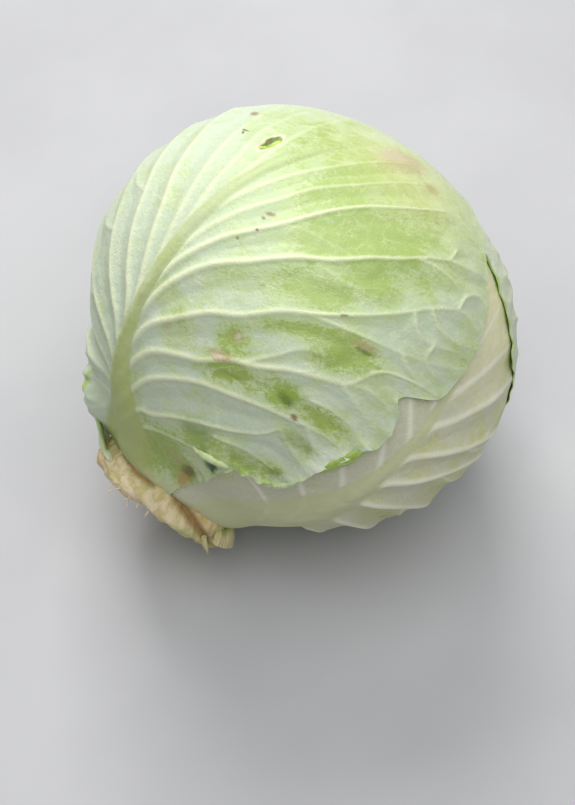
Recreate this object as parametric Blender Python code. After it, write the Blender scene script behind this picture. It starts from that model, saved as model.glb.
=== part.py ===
"""A head of white cabbage lying on its side: the cut stump, the tight heart, five wrapper
leaves and the two broken bases of older leaves. Metres, +Z up; the origin is the middle of
the small flat spot that the head rests on."""

from math import acos, atan2, cos, exp, hypot, pi, radians, sin, sqrt

import bpy
from mathutils import Vector

# The head, measured from its centre
HEAD_RADIUS = 0.0924  # widest radius, square to the stem
CROWN_HEIGHT = 0.0829  # centre to crown
BASE_DEPTH = 0.0815  # centre to base, before the swelling round the stump
NECK_SWELL = 0.0075  # how far the wide swelling round the stump stands out
NECK_FLARE = 0.0050  # how far the leaf bases run out along the stump
FLAT_DEPTH = 0.0018  # how far the head's weight presses its lowest point flat
FLAT_SPARE = 0.0001  # the layers inside give way this much more

# How the head lies: the crown points away, to the right and up
CROWN_BEARING = radians(43.1)  # from +X
CROWN_RISE = radians(33.2)  # above level

# The leaves
LEAF_THICKNESS = 0.0012
LEAF_GAP = 0.00115  # between one leaf and the next, where neither is raised
TUCK_FLAT = 0.020  # a leaf lies at full depth this far past the edge of the one over it
TUCK_RAMP = 0.045  # and comes back up to the surface over this length
OUTLINE_RADIUS = 0.090  # outlines are arc lengths on a ball of this radius
LEAF_MIDDLE = radians(85)  # from the crown to the middle of a leaf

# The stump
NECK_HALF_ANGLE = radians(19)  # of the cone that the leaf bases end on
SEAT_CLEARANCE = 0.0006  # between the leaf bases and that cone, so that facets stay clear
HEART_SEAT = 0.0800  # centre to the flat base of the heart
HEART_CLEARANCE = 0.0003
COLLAR_RADIUS = 0.0328
STUMP_END = 0.1020  # centre to the cut face
CUT_RADIUS = 0.0275
STUMP_SEGMENTS = 40

# The broken leaf bases on the stump's collar
STUB_THICKNESS = 0.0028
STUB_CLEARANCE = 0.0003

MM = 0.001


def smooth_step(low, high, value):
    """0 below low, 1 above high, and an S-curve between."""
    t = min(max((value - low) / (high - low), 0.0), 1.0)
    return t * t * (3 - 2 * t)


def frame_of_head():
    """The crown's direction, the topmost direction square to it, and the third axis."""
    level = Vector((cos(CROWN_BEARING), sin(CROWN_BEARING), 0))
    crown = level * cos(CROWN_RISE) + Vector((0, 0, sin(CROWN_RISE)))
    top = (Vector((0, 0, 1)) - crown * crown.z).normalized()
    return crown, top, top.cross(crown)


CROWN, TOP, SIDE = frame_of_head()
DOWN = Vector((0, 0, -1))


def direction(from_crown, round_stem):
    """A direction from the centre, by its angles from the crown and round from the top."""
    outward = TOP * cos(round_stem) + SIDE * sin(round_stem)
    return CROWN * cos(from_crown) + outward * sin(from_crown)


def angle_from(axis, ray):
    return acos(min(max(axis.dot(ray), -1.0), 1.0))


def round_head_radius(ray):
    """The head's radius with no flat spot: two half ellipses and the neck's swelling."""
    from_crown = angle_from(CROWN, ray)
    along = CROWN_HEIGHT if from_crown < pi / 2 else BASE_DEPTH
    ellipse = 1 / sqrt((cos(from_crown) / along) ** 2 + (sin(from_crown) / HEAD_RADIUS) ** 2)
    return ellipse + NECK_SWELL * exp(-(((from_crown - radians(168)) / radians(16)) ** 2))


def neck_flare(ray):
    """How far the leaves, but not the heart, run out along the stump."""
    return NECK_FLARE * smooth_step(radians(146), pi - NECK_HALF_ANGLE, angle_from(CROWN, ray)) ** 2


REST_RADIUS = round_head_radius(DOWN)
CENTRE_HEIGHT = REST_RADIUS - FLAT_DEPTH
CENTRE = Vector((0, 0, CENTRE_HEIGHT))


def floor_distance(ray):
    """How far the floor is from the centre along a ray."""
    drop = ray.dot(DOWN)
    return CENTRE_HEIGHT / drop if drop > 0.2 else 10.0


def head_radius(ray):
    """The radius of the whole head, evenly round about the point that it rests on."""
    near_floor = 1 - smooth_step(radians(15), radians(45), angle_from(DOWN, ray))
    free = round_head_radius(ray)
    return free + (REST_RADIUS - free) * near_floor


def pressed_in(ray):
    """How far the layers over the flat spot give way inside, so that none is cut through."""
    give = FLAT_DEPTH + FLAT_SPARE
    return give * (1 - smooth_step(radians(3), radians(28), angle_from(DOWN, ray)))


def at(ray, radius):
    """The point on a ray; a point pressed on the floor lies exactly on it."""
    point = CENTRE + ray * radius
    if abs(point.z) < 1e-6:
        point.z = 0.0
    return point


def along_curve(points, t):
    """A smooth curve through the points, at t from 0 to 1."""
    place = t * (len(points) - 1)
    index = min(int(place), len(points) - 2)
    u = place - index
    p1, p2 = points[index], points[index + 1]
    p0 = points[index - 1] if index else p1 * 2 - p2
    p3 = points[index + 2] if index + 2 < len(points) else p2 * 2 - p1
    bend = (p0 * 2 - p1 * 5 + p2 * 4 - p3) * (u * u)
    twist = (p1 * 3 - p0 - p2 * 3 + p3) * (u * u * u)
    return (p1 * 2 + (p2 - p0) * u + bend + twist) / 2


def closed_object(name, vertices, faces, colour, roughness):
    mesh = bpy.data.meshes.new(name)
    mesh.from_pydata(vertices, [], faces)
    mesh.validate()
    mesh.shade_smooth()
    mesh.set_sharp_from_angle(angle=radians(50))
    material = bpy.data.materials.new(name)
    material.use_nodes = True
    shader = material.node_tree.nodes["Principled BSDF"]
    shader.inputs["Base Color"].default_value = (*colour, 1)
    shader.inputs["Roughness"].default_value = roughness
    shader.inputs["Metallic"].default_value = 0
    mesh.materials.append(material)
    obj = bpy.data.objects.new(name, mesh)
    bpy.context.collection.objects.link(obj)
    return obj


class Leaf:
    """A wrapper leaf. Its outline is laid out flat, in millimetres of arc from the leaf's
    middle: x to the right, y to the tip. Each row joins the left margin, the midrib and the
    right margin. The first row is on the stump's cone, given as degrees round the stem."""

    def __init__(self, name, round_stem, base, rows, rib_height, cells, colour):
        self.name = name
        self.round_stem = radians(round_stem)
        self.base = [radians(angle) for angle in base]
        self.rib_height = rib_height
        self.across, self.along = cells
        self.colour = colour
        outward = TOP * cos(self.round_stem) + SIDE * sin(self.round_stem)
        self.normal = CROWN * cos(LEAF_MIDDLE) + outward * sin(LEAF_MIDDLE)
        self.tipward = CROWN * sin(LEAF_MIDDLE) - outward * cos(LEAF_MIDDLE)
        self.right = self.tipward.cross(self.normal)
        seat = [self.flat(direction(pi - NECK_HALF_ANGLE, self.round_stem - a)) for a in self.base]
        flat_rows = [[Vector(point) * MM for point in row] for row in rows]
        self.margins = [[seat[side]] + [row[side] for row in flat_rows] for side in range(3)]

    def flat(self, ray):
        """Where a direction falls on the flat leaf."""
        arc = angle_from(self.normal, ray) * OUTLINE_RADIUS
        x, y = ray.dot(self.right), ray.dot(self.tipward)
        return Vector((x, y)) * (arc / max(hypot(x, y), 1e-9))

    def ray(self, point):
        """The direction of a point of the flat leaf."""
        arc = point.length / OUTLINE_RADIUS
        turn = atan2(point.y, point.x)
        sideways = self.right * cos(turn) + self.tipward * sin(turn)
        return self.normal * cos(arc) + sideways * sin(arc)

    def grid_ray(self, u, v):
        """The direction at u, from -1 at the left margin to 1 at the right, and v from the base
        to the tip. The lowest rows run round the stem, the higher ones straight across."""
        left, rib, right = (along_curve(margin, v) for margin in self.margins)
        start, end, share = (left, rib, u + 1) if u < 0 else (rib, right, u)
        straight = self.ray(start.lerp(end, share))
        round_share = 1 - smooth_step(0.0, 0.35, v)
        if round_share <= 0:
            return straight
        angles = []
        for point in (start, end):
            ray = self.ray(point)
            turn = atan2(ray.dot(SIDE), ray.dot(TOP)) - self.round_stem
            angles.append((angle_from(CROWN, ray), (turn + pi) % (2 * pi) - pi))
        from_crown = angles[0][0] + (angles[1][0] - angles[0][0]) * share
        turn = angles[0][1] + (angles[1][1] - angles[0][1]) * share
        curved = direction(from_crown, self.round_stem + turn)
        return (curved * round_share + straight * (1 - round_share)).normalized()

    def outline(self):
        left = [along_curve(self.margins[0], k / 24) for k in range(25)]
        right = [along_curve(self.margins[2], k / 24) for k in range(25)]
        return left + right[::-1]

    def cover(self, ray):
        """1 under the leaf and a little past its edge, falling smoothly to 0 further out."""
        point = self.flat(ray)
        nearest, inside = 1.0, False
        edge = self.edge
        for a, b in zip(edge, edge[1:] + edge[:1]):
            if (a.y > point.y) != (b.y > point.y):
                if point.x < a.x + (b.x - a.x) * (point.y - a.y) / (b.y - a.y):
                    inside = not inside
            side = b - a
            share = min(max((point - a).dot(side) / max(side.length_squared, 1e-12), 0), 1)
            nearest = min(nearest, (point - a - side * share).length)
        if inside:
            return 1.0
        return 1 - smooth_step(TUCK_FLAT, TUCK_FLAT + TUCK_RAMP, nearest)

    def rib(self, ray):
        """How far the midrib stands out: wide and high at the base, gone near the tip."""
        point = self.flat(ray)
        y = point.y / MM
        middle = 3.0 + 2.0 * smooth_step(-60, 60, y)
        half_width = (5.0 + 17.0 * (1 - smooth_step(-125, -20, y))) * MM
        height = self.rib_height * (1 - 0.7 * smooth_step(-60, 20, y)) * (1 - smooth_step(20, 90, y))
        base_fade = smooth_step(NECK_HALF_ANGLE, NECK_HALF_ANGLE + radians(9), pi - angle_from(CROWN, ray))
        side = (point.x - middle * MM) / half_width
        return height * base_fade * (1 - side * side) ** 2 if abs(side) < 1 else 0.0


def layer_depth(ray, over):
    """How deep a surface lies under the leaves in the list."""
    return sum((LEAF_THICKNESS + LEAF_GAP) * leaf.cover(ray) for leaf in over)


def build_leaf(leaf, over):
    """The leaf as a closed shell: an outer and an inner grid, joined round the edge."""
    outer, inner = [], []
    for j in range(leaf.along + 1):
        for i in range(leaf.across + 1):
            ray = leaf.grid_ray(2 * i / leaf.across - 1, (j / leaf.along) ** ROW_CROWDING)
            surface = head_radius(ray) + neck_flare(ray) - layer_depth(ray, over)
            shown = 1.0
            for upper in over:
                shown *= 1 - upper.cover(ray)
            pressed = pressed_in(ray)
            outside = surface + leaf.rib(ray) * shown - pressed * (1 - shown)
            outer.append(at(ray, min(outside, floor_distance(ray))))
            inner.append(at(ray, surface - pressed - LEAF_THICKNESS))
    count = len(outer)
    wide = leaf.across + 1
    faces = []
    for j in range(leaf.along):
        for i in range(leaf.across):
            a = j * wide + i
            faces.append((a, a + 1, a + wide + 1, a + wide))
            faces.append((a + count, a + wide + count, a + wide + 1 + count, a + 1 + count))
    bottom = [i for i in range(wide)]
    right = [j * wide + leaf.across for j in range(1, leaf.along + 1)]
    top = [leaf.along * wide + i for i in range(leaf.across - 1, -1, -1)]
    left = [j * wide for j in range(leaf.along - 1, 0, -1)]
    loop = bottom + right + top + left
    for a, b in zip(loop, loop[1:] + loop[:1]):
        faces.append((b, a, a + count, b + count))
    return closed_object(leaf.name, outer + inner, faces, leaf.colour, 0.45)


def build_heart(over):
    """The tight heart: what the wrapper leaves leave of the head, flat where it sits."""
    bpy.ops.mesh.primitive_ico_sphere_add(subdivisions=4, radius=1)
    ball = bpy.context.object
    rays = [vertex.co.normalized() for vertex in ball.data.vertices]
    faces = [tuple(face.vertices) for face in ball.data.polygons]
    bpy.data.objects.remove(ball)
    points = []
    for ray in rays:
        radius = head_radius(ray) - pressed_in(ray) - layer_depth(ray, over) - HEART_CLEARANCE
        toward_stump = -ray.dot(CROWN)
        if toward_stump > 0.5:
            radius = min(radius, HEART_SEAT / toward_stump)
        points.append(at(ray, radius))
    return closed_object("tight_heart", points, faces, (0.56, 0.62, 0.30), 0.5)


def round_stem_point(radius, depth, round_stem):
    """A point by its distance from the stem's axis, its depth below the centre and its turn."""
    outward = TOP * cos(round_stem) + SIDE * sin(round_stem)
    return CENTRE - CROWN * depth + outward * radius


def seat_end():
    """Radius and depth where the leaf bases' outer side ends, on the stump's cone."""
    edge = direction(pi - NECK_HALF_ANGLE, 0.0)
    outside = round_head_radius(edge) + neck_flare(edge) + SEAT_CLEARANCE
    inset = SEAT_CLEARANCE
    radius = outside * sin(NECK_HALF_ANGLE) - inset * cos(NECK_HALF_ANGLE)
    return radius, outside * cos(NECK_HALF_ANGLE) + inset * sin(NECK_HALF_ANGLE)


def build_stump():
    """The cut stump, turned: a cone between the leaf bases, a collar and the cut face."""
    top = HEART_SEAT + HEART_CLEARANCE
    end_radius, end_depth = seat_end()
    top_radius = end_radius - (end_depth - top) * sin(NECK_HALF_ANGLE) / cos(NECK_HALF_ANGLE)
    collar_top = end_depth + 0.0012
    profile = [
        (top_radius * 0.5, top),
        (top_radius, top),
        (end_radius, end_depth),
        (COLLAR_RADIUS - 0.0008, collar_top),
        (COLLAR_RADIUS, (collar_top * 2 + STUMP_END) / 3),
        (COLLAR_RADIUS, STUMP_END - 0.0035),
        (CUT_RADIUS, STUMP_END),
        (CUT_RADIUS * 0.5, STUMP_END),
    ]
    points = [round_stem_point(0, top, 0)]
    for radius, depth in profile:
        for k in range(STUMP_SEGMENTS):
            points.append(round_stem_point(radius, depth, 2 * pi * k / STUMP_SEGMENTS))
    points.append(round_stem_point(0, STUMP_END, 0))
    last = len(points) - 1
    faces = []
    for k in range(STUMP_SEGMENTS):
        following = (k + 1) % STUMP_SEGMENTS
        faces.append((0, 1 + following, 1 + k))
        for ring in range(len(profile) - 1):
            a = 1 + ring * STUMP_SEGMENTS
            b = a + STUMP_SEGMENTS
            faces.append((a + k, a + following, b + following, b + k))
        end = 1 + (len(profile) - 1) * STUMP_SEGMENTS
        faces.append((last, end + k, end + following))
    return closed_object("stem_stump", points, faces, (0.62, 0.47, 0.24), 0.7)


def build_stub(name, round_stem, half_angle, reach, lift):
    """The torn base of an older leaf: a short thick tongue that stands on the collar's side and
    leans out, widest where it grew, with a ragged end."""
    _, end_depth = seat_end()
    root_depth = (end_depth + STUMP_END) / 2 + 0.002
    seat_radius = COLLAR_RADIUS + STUB_CLEARANCE
    sections = 12
    rings = 5
    points = []
    for i in range(sections + 1):
        share = 2 * i / sections - 1
        turn = radians(round_stem) + radians(half_angle) * share
        ragged = 1 - 0.55 * share * share + 0.22 * cos(5.2 * share + 1.0)
        for k in range(rings + 1):
            up = k / rings
            depth = root_depth - reach * ragged * up
            radius = seat_radius + lift * up ** 1.5
            thick = STUB_THICKNESS * (1 - 0.6 * up) * (1 - 0.5 * share ** 4)
            points.append(round_stem_point(radius, depth, turn))
            points.append(round_stem_point(radius + thick, depth, turn))
    column = 2 * (rings + 1)
    faces = []
    for i in range(sections):
        for k in range(rings):
            a = i * column + 2 * k
            b = a + column
            faces.append((a, b, b + 2, a + 2))
            faces.append((a + 1, a + 3, b + 3, b + 1))
        a = i * column
        b = a + column
        faces.append((a, a + 1, b + 1, b))
        c = a + 2 * rings
        d = c + column
        faces.append((c, d, d + 1, c + 1))
    for start, flip in ((0, False), (sections * column, True)):
        for k in range(rings):
            a = start + 2 * k
            face = (a, a + 2, a + 3, a + 1)
            faces.append(face[::-1] if flip else face)
    return closed_object(name, points, faces, (0.60, 0.62, 0.30), 0.6)


FRONT_ROWS = [
    ((-48, -110), (-1, -100), (43, -100)),
    ((-84, -84), (2, -78), (67, -74)),
    ((-104, -56), (3, -52), (99, -56)),
    ((-114, -24), (4, -22), (112, -18)),
    ((-118, 8), (4, 10), (114, 10)),
    ((-117, 40), (4, 42), (121, 38)),
    ((-109, 72), (5, 72), (113, 70)),
    ((-90, 104), (6, 102), (91, 100)),
    ((-54, 132), (6, 130), (58, 130)),
    ((-18, 148), (6, 148), (30, 147)),
]
BACK_ROWS = [
    ((-52, -110), (0, -98), (50, -110)),
    ((-84, -84), (2, -74), (82, -84)),
    ((-108, -52), (3, -46), (104, -54)),
    ((-124, -18), (4, -16), (116, -22)),
    ((-133, 18), (4, 14), (120, 10)),
    ((-139, 54), (4, 44), (118, 42)),
    ((-134, 90), (5, 74), (108, 72)),
    ((-112, 122), (5, 104), (86, 102)),
    ((-80, 145), (4, 132), (54, 128)),
    ((-40, 156), (0, 152), (22, 146)),
]
INNER_ROWS = [
    ((-50, -110), (0, -98), (50, -110)),
    ((-80, -84), (2, -74), (80, -84)),
    ((-103, -52), (3, -46), (103, -52)),
    ((-115, -18), (4, -16), (115, -18)),
    ((-119, 16), (4, 14), (119, 16)),
    ((-114, 48), (4, 44), (114, 48)),
    ((-98, 80), (4, 72), (98, 80)),
    ((-70, 106), (4, 100), (72, 106)),
    ((-24, 124), (4, 124), (30, 124)),
]

ROW_CROWDING = 1.3  # over 1, the rows of a leaf lie closer together near its base
COARSE = (14, 20)
FINE = (18, 24)


def build_head():
    """The leaves from the outermost in, each tucked under those before it."""
    pale, waxy = (0.58, 0.62, 0.36), (0.42, 0.52, 0.20)
    leaves = [
        Leaf("front_leaf", 13, (-42, 2, 45), FRONT_ROWS, 0.0046, COARSE, waxy),
        Leaf("back_leaf", 155, (-42, 0, 42), BACK_ROWS, 0.0030, FINE, (0.46, 0.55, 0.26)),
        Leaf("lower_leaf", -70, (-52, 0, 50), INNER_ROWS, 0.0034, COARSE, pale),
        Leaf("upper_leaf", 70, (-40, 0, 40), INNER_ROWS, 0.0030, COARSE, (0.40, 0.55, 0.16)),
        Leaf("rear_leaf", -152, (-40, 0, 40), INNER_ROWS, 0.0030, COARSE, (0.50, 0.60, 0.26)),
    ]
    for leaf in leaves:
        leaf.edge = leaf.outline()
    for number, leaf in enumerate(leaves):
        build_leaf(leaf, leaves[:number])
    build_heart(leaves)
    build_stump()
    build_stub("left_leaf_stub", 52, 20, 0.014, 0.0062)
    build_stub("lower_leaf_stub", -112, 16, 0.010, 0.0035)


for old in list(bpy.data.objects):
    bpy.data.objects.remove(old)
build_head()
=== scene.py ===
"""A head of white cabbage, lying on its side on a pale floor."""

from math import cos, pi, radians, sin

import bpy
import numpy as np
from mathutils import Matrix, Vector


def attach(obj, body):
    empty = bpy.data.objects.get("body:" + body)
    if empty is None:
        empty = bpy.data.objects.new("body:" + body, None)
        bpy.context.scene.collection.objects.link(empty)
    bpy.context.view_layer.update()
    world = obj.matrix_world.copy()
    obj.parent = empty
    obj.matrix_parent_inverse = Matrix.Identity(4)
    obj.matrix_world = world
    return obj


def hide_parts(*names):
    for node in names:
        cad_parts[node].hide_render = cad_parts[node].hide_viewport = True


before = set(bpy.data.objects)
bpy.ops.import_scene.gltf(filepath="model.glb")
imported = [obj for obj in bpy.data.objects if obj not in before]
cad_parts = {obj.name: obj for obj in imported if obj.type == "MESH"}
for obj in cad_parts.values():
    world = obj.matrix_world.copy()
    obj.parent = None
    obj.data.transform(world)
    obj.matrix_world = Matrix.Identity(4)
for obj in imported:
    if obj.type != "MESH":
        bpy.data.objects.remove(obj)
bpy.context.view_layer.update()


# ---- Stem stump -----------------------------------------------------------------------
# The short end of the stem, on which every leaf grew: solid, fibrous and cream-coloured.
# It was cut through with a knife close under the head, and the broken bases of older
# leaves stand on its side as knobs and lips, browned where they dried.

# The frame's own places are in metres. Sizes on the stump and on the leaves are in millimetres.
MM = 0.001
CROWN_BEARING = radians(43.1)
CROWN_RISE = radians(33.2)
CENTRE_HEIGHT = 0.0869
STUMP_TOP = 80.3
COLLAR_TOP = 85.6
COLLAR_RADIUS = 32.8
STUMP_END = 102.0
CUT_RADIUS = 27.5
COLLAR_DEGREE = COLLAR_RADIUS * radians(1)
SHARP_EDGE = radians(60)

upward = np.array([0.0, 0.0, 1.0])
level = np.array([cos(CROWN_BEARING), sin(CROWN_BEARING), 0.0])
crown = level * cos(CROWN_RISE) + upward * sin(CROWN_RISE)
top = upward - crown * crown[2]
top /= np.linalg.norm(top)
side = np.cross(top, crown)
centre = upward * CENTRE_HEIGHT
density = 1.0


def count(full, stride=1):
    """A number of cells that the stride divides."""
    return int(full * density) // stride * stride


def smooth_step(low, high, value):
    """0 below low, 1 above high, and an S-curve between."""
    t = np.clip((value - low) / (high - low), 0.0, 1.0)
    return t * t * (3 - 2 * t)


def round_stem(turn, depth, radius):
    """Places round the stem: degrees from its topmost line, and millimetres below the head's
    centre and from the stem's axis."""
    turn = np.radians(np.asarray(turn, float))[..., None]
    depth = np.asarray(depth, float)[..., None]
    radius = np.asarray(radius, float)[..., None]
    return centre + MM * (radius * (top * np.cos(turn) + side * np.sin(turn)) - crown * depth)


def read_path(points, share):
    """Places along a bent line of points, by share of its points."""
    points = np.array(points, float)
    at = np.linspace(0, 1, len(points))
    return np.stack([np.interp(share, at, points[:, axis]) for axis in range(points.shape[1])], -1)


def from_line(x, y, line):
    """Distance of each place from a bent line."""
    nearest = np.full(np.shape(x), 1e9)
    for (ax, ay), (bx, by) in zip(line, line[1:]):
        dx, dy = bx - ax, by - ay
        share = np.clip(((x - ax) * dx + (y - ay) * dy) / (dx * dx + dy * dy), 0, 1)
        nearest = np.minimum(nearest, np.hypot(x - ax - share * dx, y - ay - share * dy))
    return nearest


def quads(ids):
    """Faces between the points of a grid of point numbers."""
    corners = (ids[:-1, :-1], ids[:-1, 1:], ids[1:, 1:], ids[1:, :-1])
    return np.stack([c.ravel() for c in corners], -1).tolist()


def turned_faces(shape, point_at_end):
    """Faces of rows of points round an axis. The first row is one point, and so is the last one
    with point_at_end. Also returns which points are used."""
    ids = np.arange(shape[0] * shape[1]).reshape(shape)
    closed = np.column_stack([ids, ids[:, :1]])
    closed[0] = ids[0, 0]
    if point_at_end:
        closed[-1] = ids[-1, 0]
    used, numbers = np.unique(closed, return_inverse=True)
    faces = quads(numbers.reshape(closed.shape))
    return [[c for n, c in enumerate(face) if c not in face[:n]] for face in faces], used


def add_object(name, vertices, faces, materials, face_materials=None, flat=None, masks=None):
    """A smooth-shaded mesh object from arrays. flat holds each vertex's place on the piece laid
    out flat, in millimetres, and masks hold where its marks are, for the finishes."""
    mesh = bpy.data.meshes.new(name)
    mesh.from_pydata(vertices.tolist(), [], faces)
    for material in materials:
        mesh.materials.append(material)
    if face_materials is not None:
        mesh.polygons.foreach_set("material_index", face_materials)
    mesh.shade_smooth()
    mesh.set_sharp_from_angle(angle=SHARP_EDGE)
    if flat is not None:
        attribute = mesh.attributes.new("flat", "FLOAT_VECTOR", "POINT")
        attribute.data.foreach_set("vector", flat.ravel())
    for key, values in (masks or {}).items():
        attribute = mesh.attributes.new(key, "FLOAT", "POINT")
        attribute.data.foreach_set("value", values)
    obj = bpy.data.objects.new(name, mesh)
    bpy.context.collection.objects.link(obj)
    return obj


class Finish:
    """A material whose colours are painted one over another, by marks and noise on the piece
    laid out flat, in millimetres."""

    def __init__(self, name, roughness, colour):
        self.material = bpy.data.materials.new(name)
        self.material.use_nodes = True
        self.tree = self.material.node_tree
        self.shader = self.tree.nodes["Principled BSDF"]
        self.shader.inputs["Roughness"].default_value = roughness
        self.colour = (*colour, 1)
        self.flat = self.node("Attribute", {}, 1, attribute_name="flat")

    def node(self, kind, inputs, output=0, **settings):
        """Adds a shader node and returns one output; inputs are sockets or plain values."""
        node = self.tree.nodes.new("ShaderNode" + kind)
        for name, value in settings.items():
            setattr(node, name, value)
        for name, value in inputs.items():
            if isinstance(value, bpy.types.NodeSocket):
                self.tree.links.new(value, node.inputs[name])
            else:
                node.inputs[name].default_value = value
        return node.outputs[output]

    def mark(self, name):
        """How strong a mark of the piece is, from 0 to 1."""
        return self.node("Attribute", {}, 2, attribute_name=name)

    def reach(self, low, high, value):
        """0 where the value is below low, 1 above high, smooth between."""
        ends = {"Value": value, "From Min": low, "From Max": high}
        return self.node("MapRange", ends, interpolation_type="SMOOTHSTEP")

    def plus(self, first, second):
        return self.node("Math", {0: first, 1: second}, operation="ADD")

    def times(self, first, second):
        return self.node("Math", {0: first, 1: second}, operation="MULTIPLY")

    def vector(self, what, first, second):
        return self.node("VectorMath", {0: first, 1: second}, operation=what)

    def noise(self, scale, detail=4.0, roughness=0.55, distortion=0.0, place=None):
        grain = {"Scale": scale, "Detail": detail, "Roughness": roughness, "Distortion": distortion}
        return self.node("TexNoise", {"Vector": place or self.flat, **grain})

    def streaks(self, across, along, detail=4.0, roughness=0.55):
        """Noise that is drawn out one way."""
        drawn = self.vector("MULTIPLY", self.flat, (across, along, 1))
        return self.noise(1.0, detail, roughness, place=drawn)

    def paint(self, where, tint, share=1.0):
        """Lays a colour over what is there, as far as the mask and the share say."""
        self.colour = self.node("Mix", {0: self.times(where, share), 6: self.colour, 7: (*tint, 1)}, 2,
                                data_type="RGBA")

    def relief(self, height, strength, millimetres):
        """Fine relief from a height."""
        bump = {"Strength": strength, "Distance": millimetres * MM, "Height": height}
        self.tree.links.new(self.node("Bump", bump), self.shader.inputs["Normal"])

    def done(self):
        self.tree.links.new(self.colour, self.shader.inputs["Base Color"])
        return self.material


def stump_finish():
    """Cream flesh with fibres along the stem, straw and orange where it dried, orange also as painted shade
    where the lower leaf's stalk meets the stump's top edge, green skin at the rim, and brown in the creases."""
    cream, straw, orange = (0.80, 0.68, 0.46), (0.62, 0.52, 0.24), (0.76, 0.50, 0.16)
    skin, brown, dark_straw = (0.50, 0.54, 0.16), (0.30, 0.17, 0.04), (0.48, 0.33, 0.15)
    finish = Finish("cut_stem", 0.6, cream)
    finish.paint(finish.reach(0.40, 0.60, finish.noise(0.2, 5.0, 0.65)), straw)
    # The dried mark is orange at a dried knob, and painted shade at the top edge under the lower leaf's
    # stalk.
    finish.paint(finish.mark("dried"), orange, 0.75)
    fibres = finish.streaks(1.6, 0.16, 5.0, 0.7)
    finish.paint(finish.reach(0.5, 0.75, fibres), dark_straw, 0.45)
    finish.paint(finish.times(finish.mark("skin"), finish.reach(0.38, 0.56, finish.noise(0.3))), skin)
    finish.paint(finish.mark("crease"), brown, 0.85)
    finish.paint(finish.reach(0.66, 0.74, finish.noise(0.8, 3.0, 0.6)), brown, 0.55)
    finish.relief(finish.plus(finish.times(fibres, 0.7), finish.noise(0.9)), 0.7, 0.9)
    return finish.done()


# Radius and depth.
STUMP_PROFILE = [
    (0, STUMP_TOP), (27.5, STUMP_TOP), (29.5, COLLAR_TOP - 0.6),
    (COLLAR_RADIUS - 0.9, COLLAR_TOP + 0.4), (COLLAR_RADIUS, 90.5), (COLLAR_RADIUS + 0.4, 95.5),
    (COLLAR_RADIUS - 0.3, 98.8), (31.0, 100.9), (CUT_RADIUS, STUMP_END), (20.0, STUMP_END - 0.3),
    (0, STUMP_END - 0.6),
]
# A line of degrees round the stem and depth, how deep the crease is, and how wide.
CREASES = [
    ([(-20, 82), (-36, 87), (-52, 90), (-66, 93), (-78, 96), (-86, 100)], 2.4, 1.6),
    ([(34, 82), (22, 87), (2, 89), (-14, 88)], 0.9, 1.1),
    ([(62, 84), (60, 90), (66, 96)], 1.2, 1.4),
    ([(110, 82), (104, 90), (112, 98)], 1.5, 1.6),
    ([(-134, 84), (-128, 92), (-140, 99)], 1.4, 1.6),
    ([(170, 83), (160, 90), (150, 94), (166, 100)], 1.3, 1.5),
]
# Degrees round the stem, depth, half width in degrees, half height, and strength.
KNOBS = [
    (50, 95.5, 13, 4.5, 1.6), (18, 92, 12, 4.0, 0.6), (-14, 95, 12, 3.0, 0.4),
    (-44, 94, 14, 3.5, 0.9), (-70, 93, 8, 4.0, 1.2), (-106, 92, 22, 8.0, -2.8),
    (138, 94, 16, 5.0, 1.8), (88, 95, 9, 4.5, 1.0), (-165, 95, 12, 4.0, 1.4),
]
# The first orange place is a dried knob; the second, at the top edge under the lower leaf's stalk, is painted
# shade.
DRIED_AND_SHADED_PLACES = [(52, 96, 14, 7, 1.0), (-60, 86, 22, 5, 0.8)]
SKIN_PLACES = [(-62, 96.5, 20, 3.5, 0.9), (-2, 87, 18, 4, 0.8), (40, 90, 14, 3, 0.5)]
RIM_SHORTEST = 3.3


def past(turn, start):
    """Degrees from one place round the stem to another, the shorter way."""
    return (turn - start + 180) % 360 - 180


def mounds(turn, depth, places):
    """Soft round mounds at places on the stump's side."""
    return sum(high * np.exp(-((past(turn, at) / wide) ** 2) - ((depth - down) / tall) ** 2)
               for at, down, wide, tall, high in places)


def stump_surface(turn, row):
    """Radius and depth of the stump's outside, and how far each place is in a crease."""
    shape = read_path(STUMP_PROFILE, row)
    radius, depth = shape[..., 0] + 0 * turn, shape[..., 1] + 0 * turn
    on_side = smooth_step(22, 29, radius) * smooth_step(81, 86, depth)
    a = np.radians(turn)
    wave = 0.5 * np.sin(5 * a + 0.3 * depth + 1) + 0.4 * np.sin(9 * a - 0.5 * depth)
    wave = wave + 0.3 * np.sin(17 * a + 0.9 * depth + 2)
    grain = 0.14 * np.sin(41 * a + 0.2 * depth) + 0.12 * np.sin(63 * a + 0.5 * depth + 1)
    raised = 0.85 * wave + 1.4 * grain + mounds(turn, depth, KNOBS)
    crease = np.zeros_like(raised)
    for line, deep, wide in CREASES:
        start = line[0][0]
        on_stump = [((x - start) * COLLAR_DEGREE, y) for x, y in line]
        apart = from_line(past(turn, start) * COLLAR_DEGREE, depth, on_stump)
        raised = raised - deep * np.exp(-((apart / wide) ** 2))
        crease = np.maximum(crease, np.exp(-((apart / (wide * 1.3)) ** 2)))
    rim = smooth_step(96, 101, depth) * smooth_step(12, 26, radius)
    ragged = 0.7 * np.sin(7 * a + 0.7) + 0.5 * np.sin(13 * a + 2) + 0.35 * np.sin(29 * a)
    shorter = RIM_SHORTEST * np.clip(np.cos(a + 0.7), 0, 1) ** 2
    return radius + raised * on_side, depth + (0.8 * ragged - shorter) * rim, crease * on_side


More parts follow.
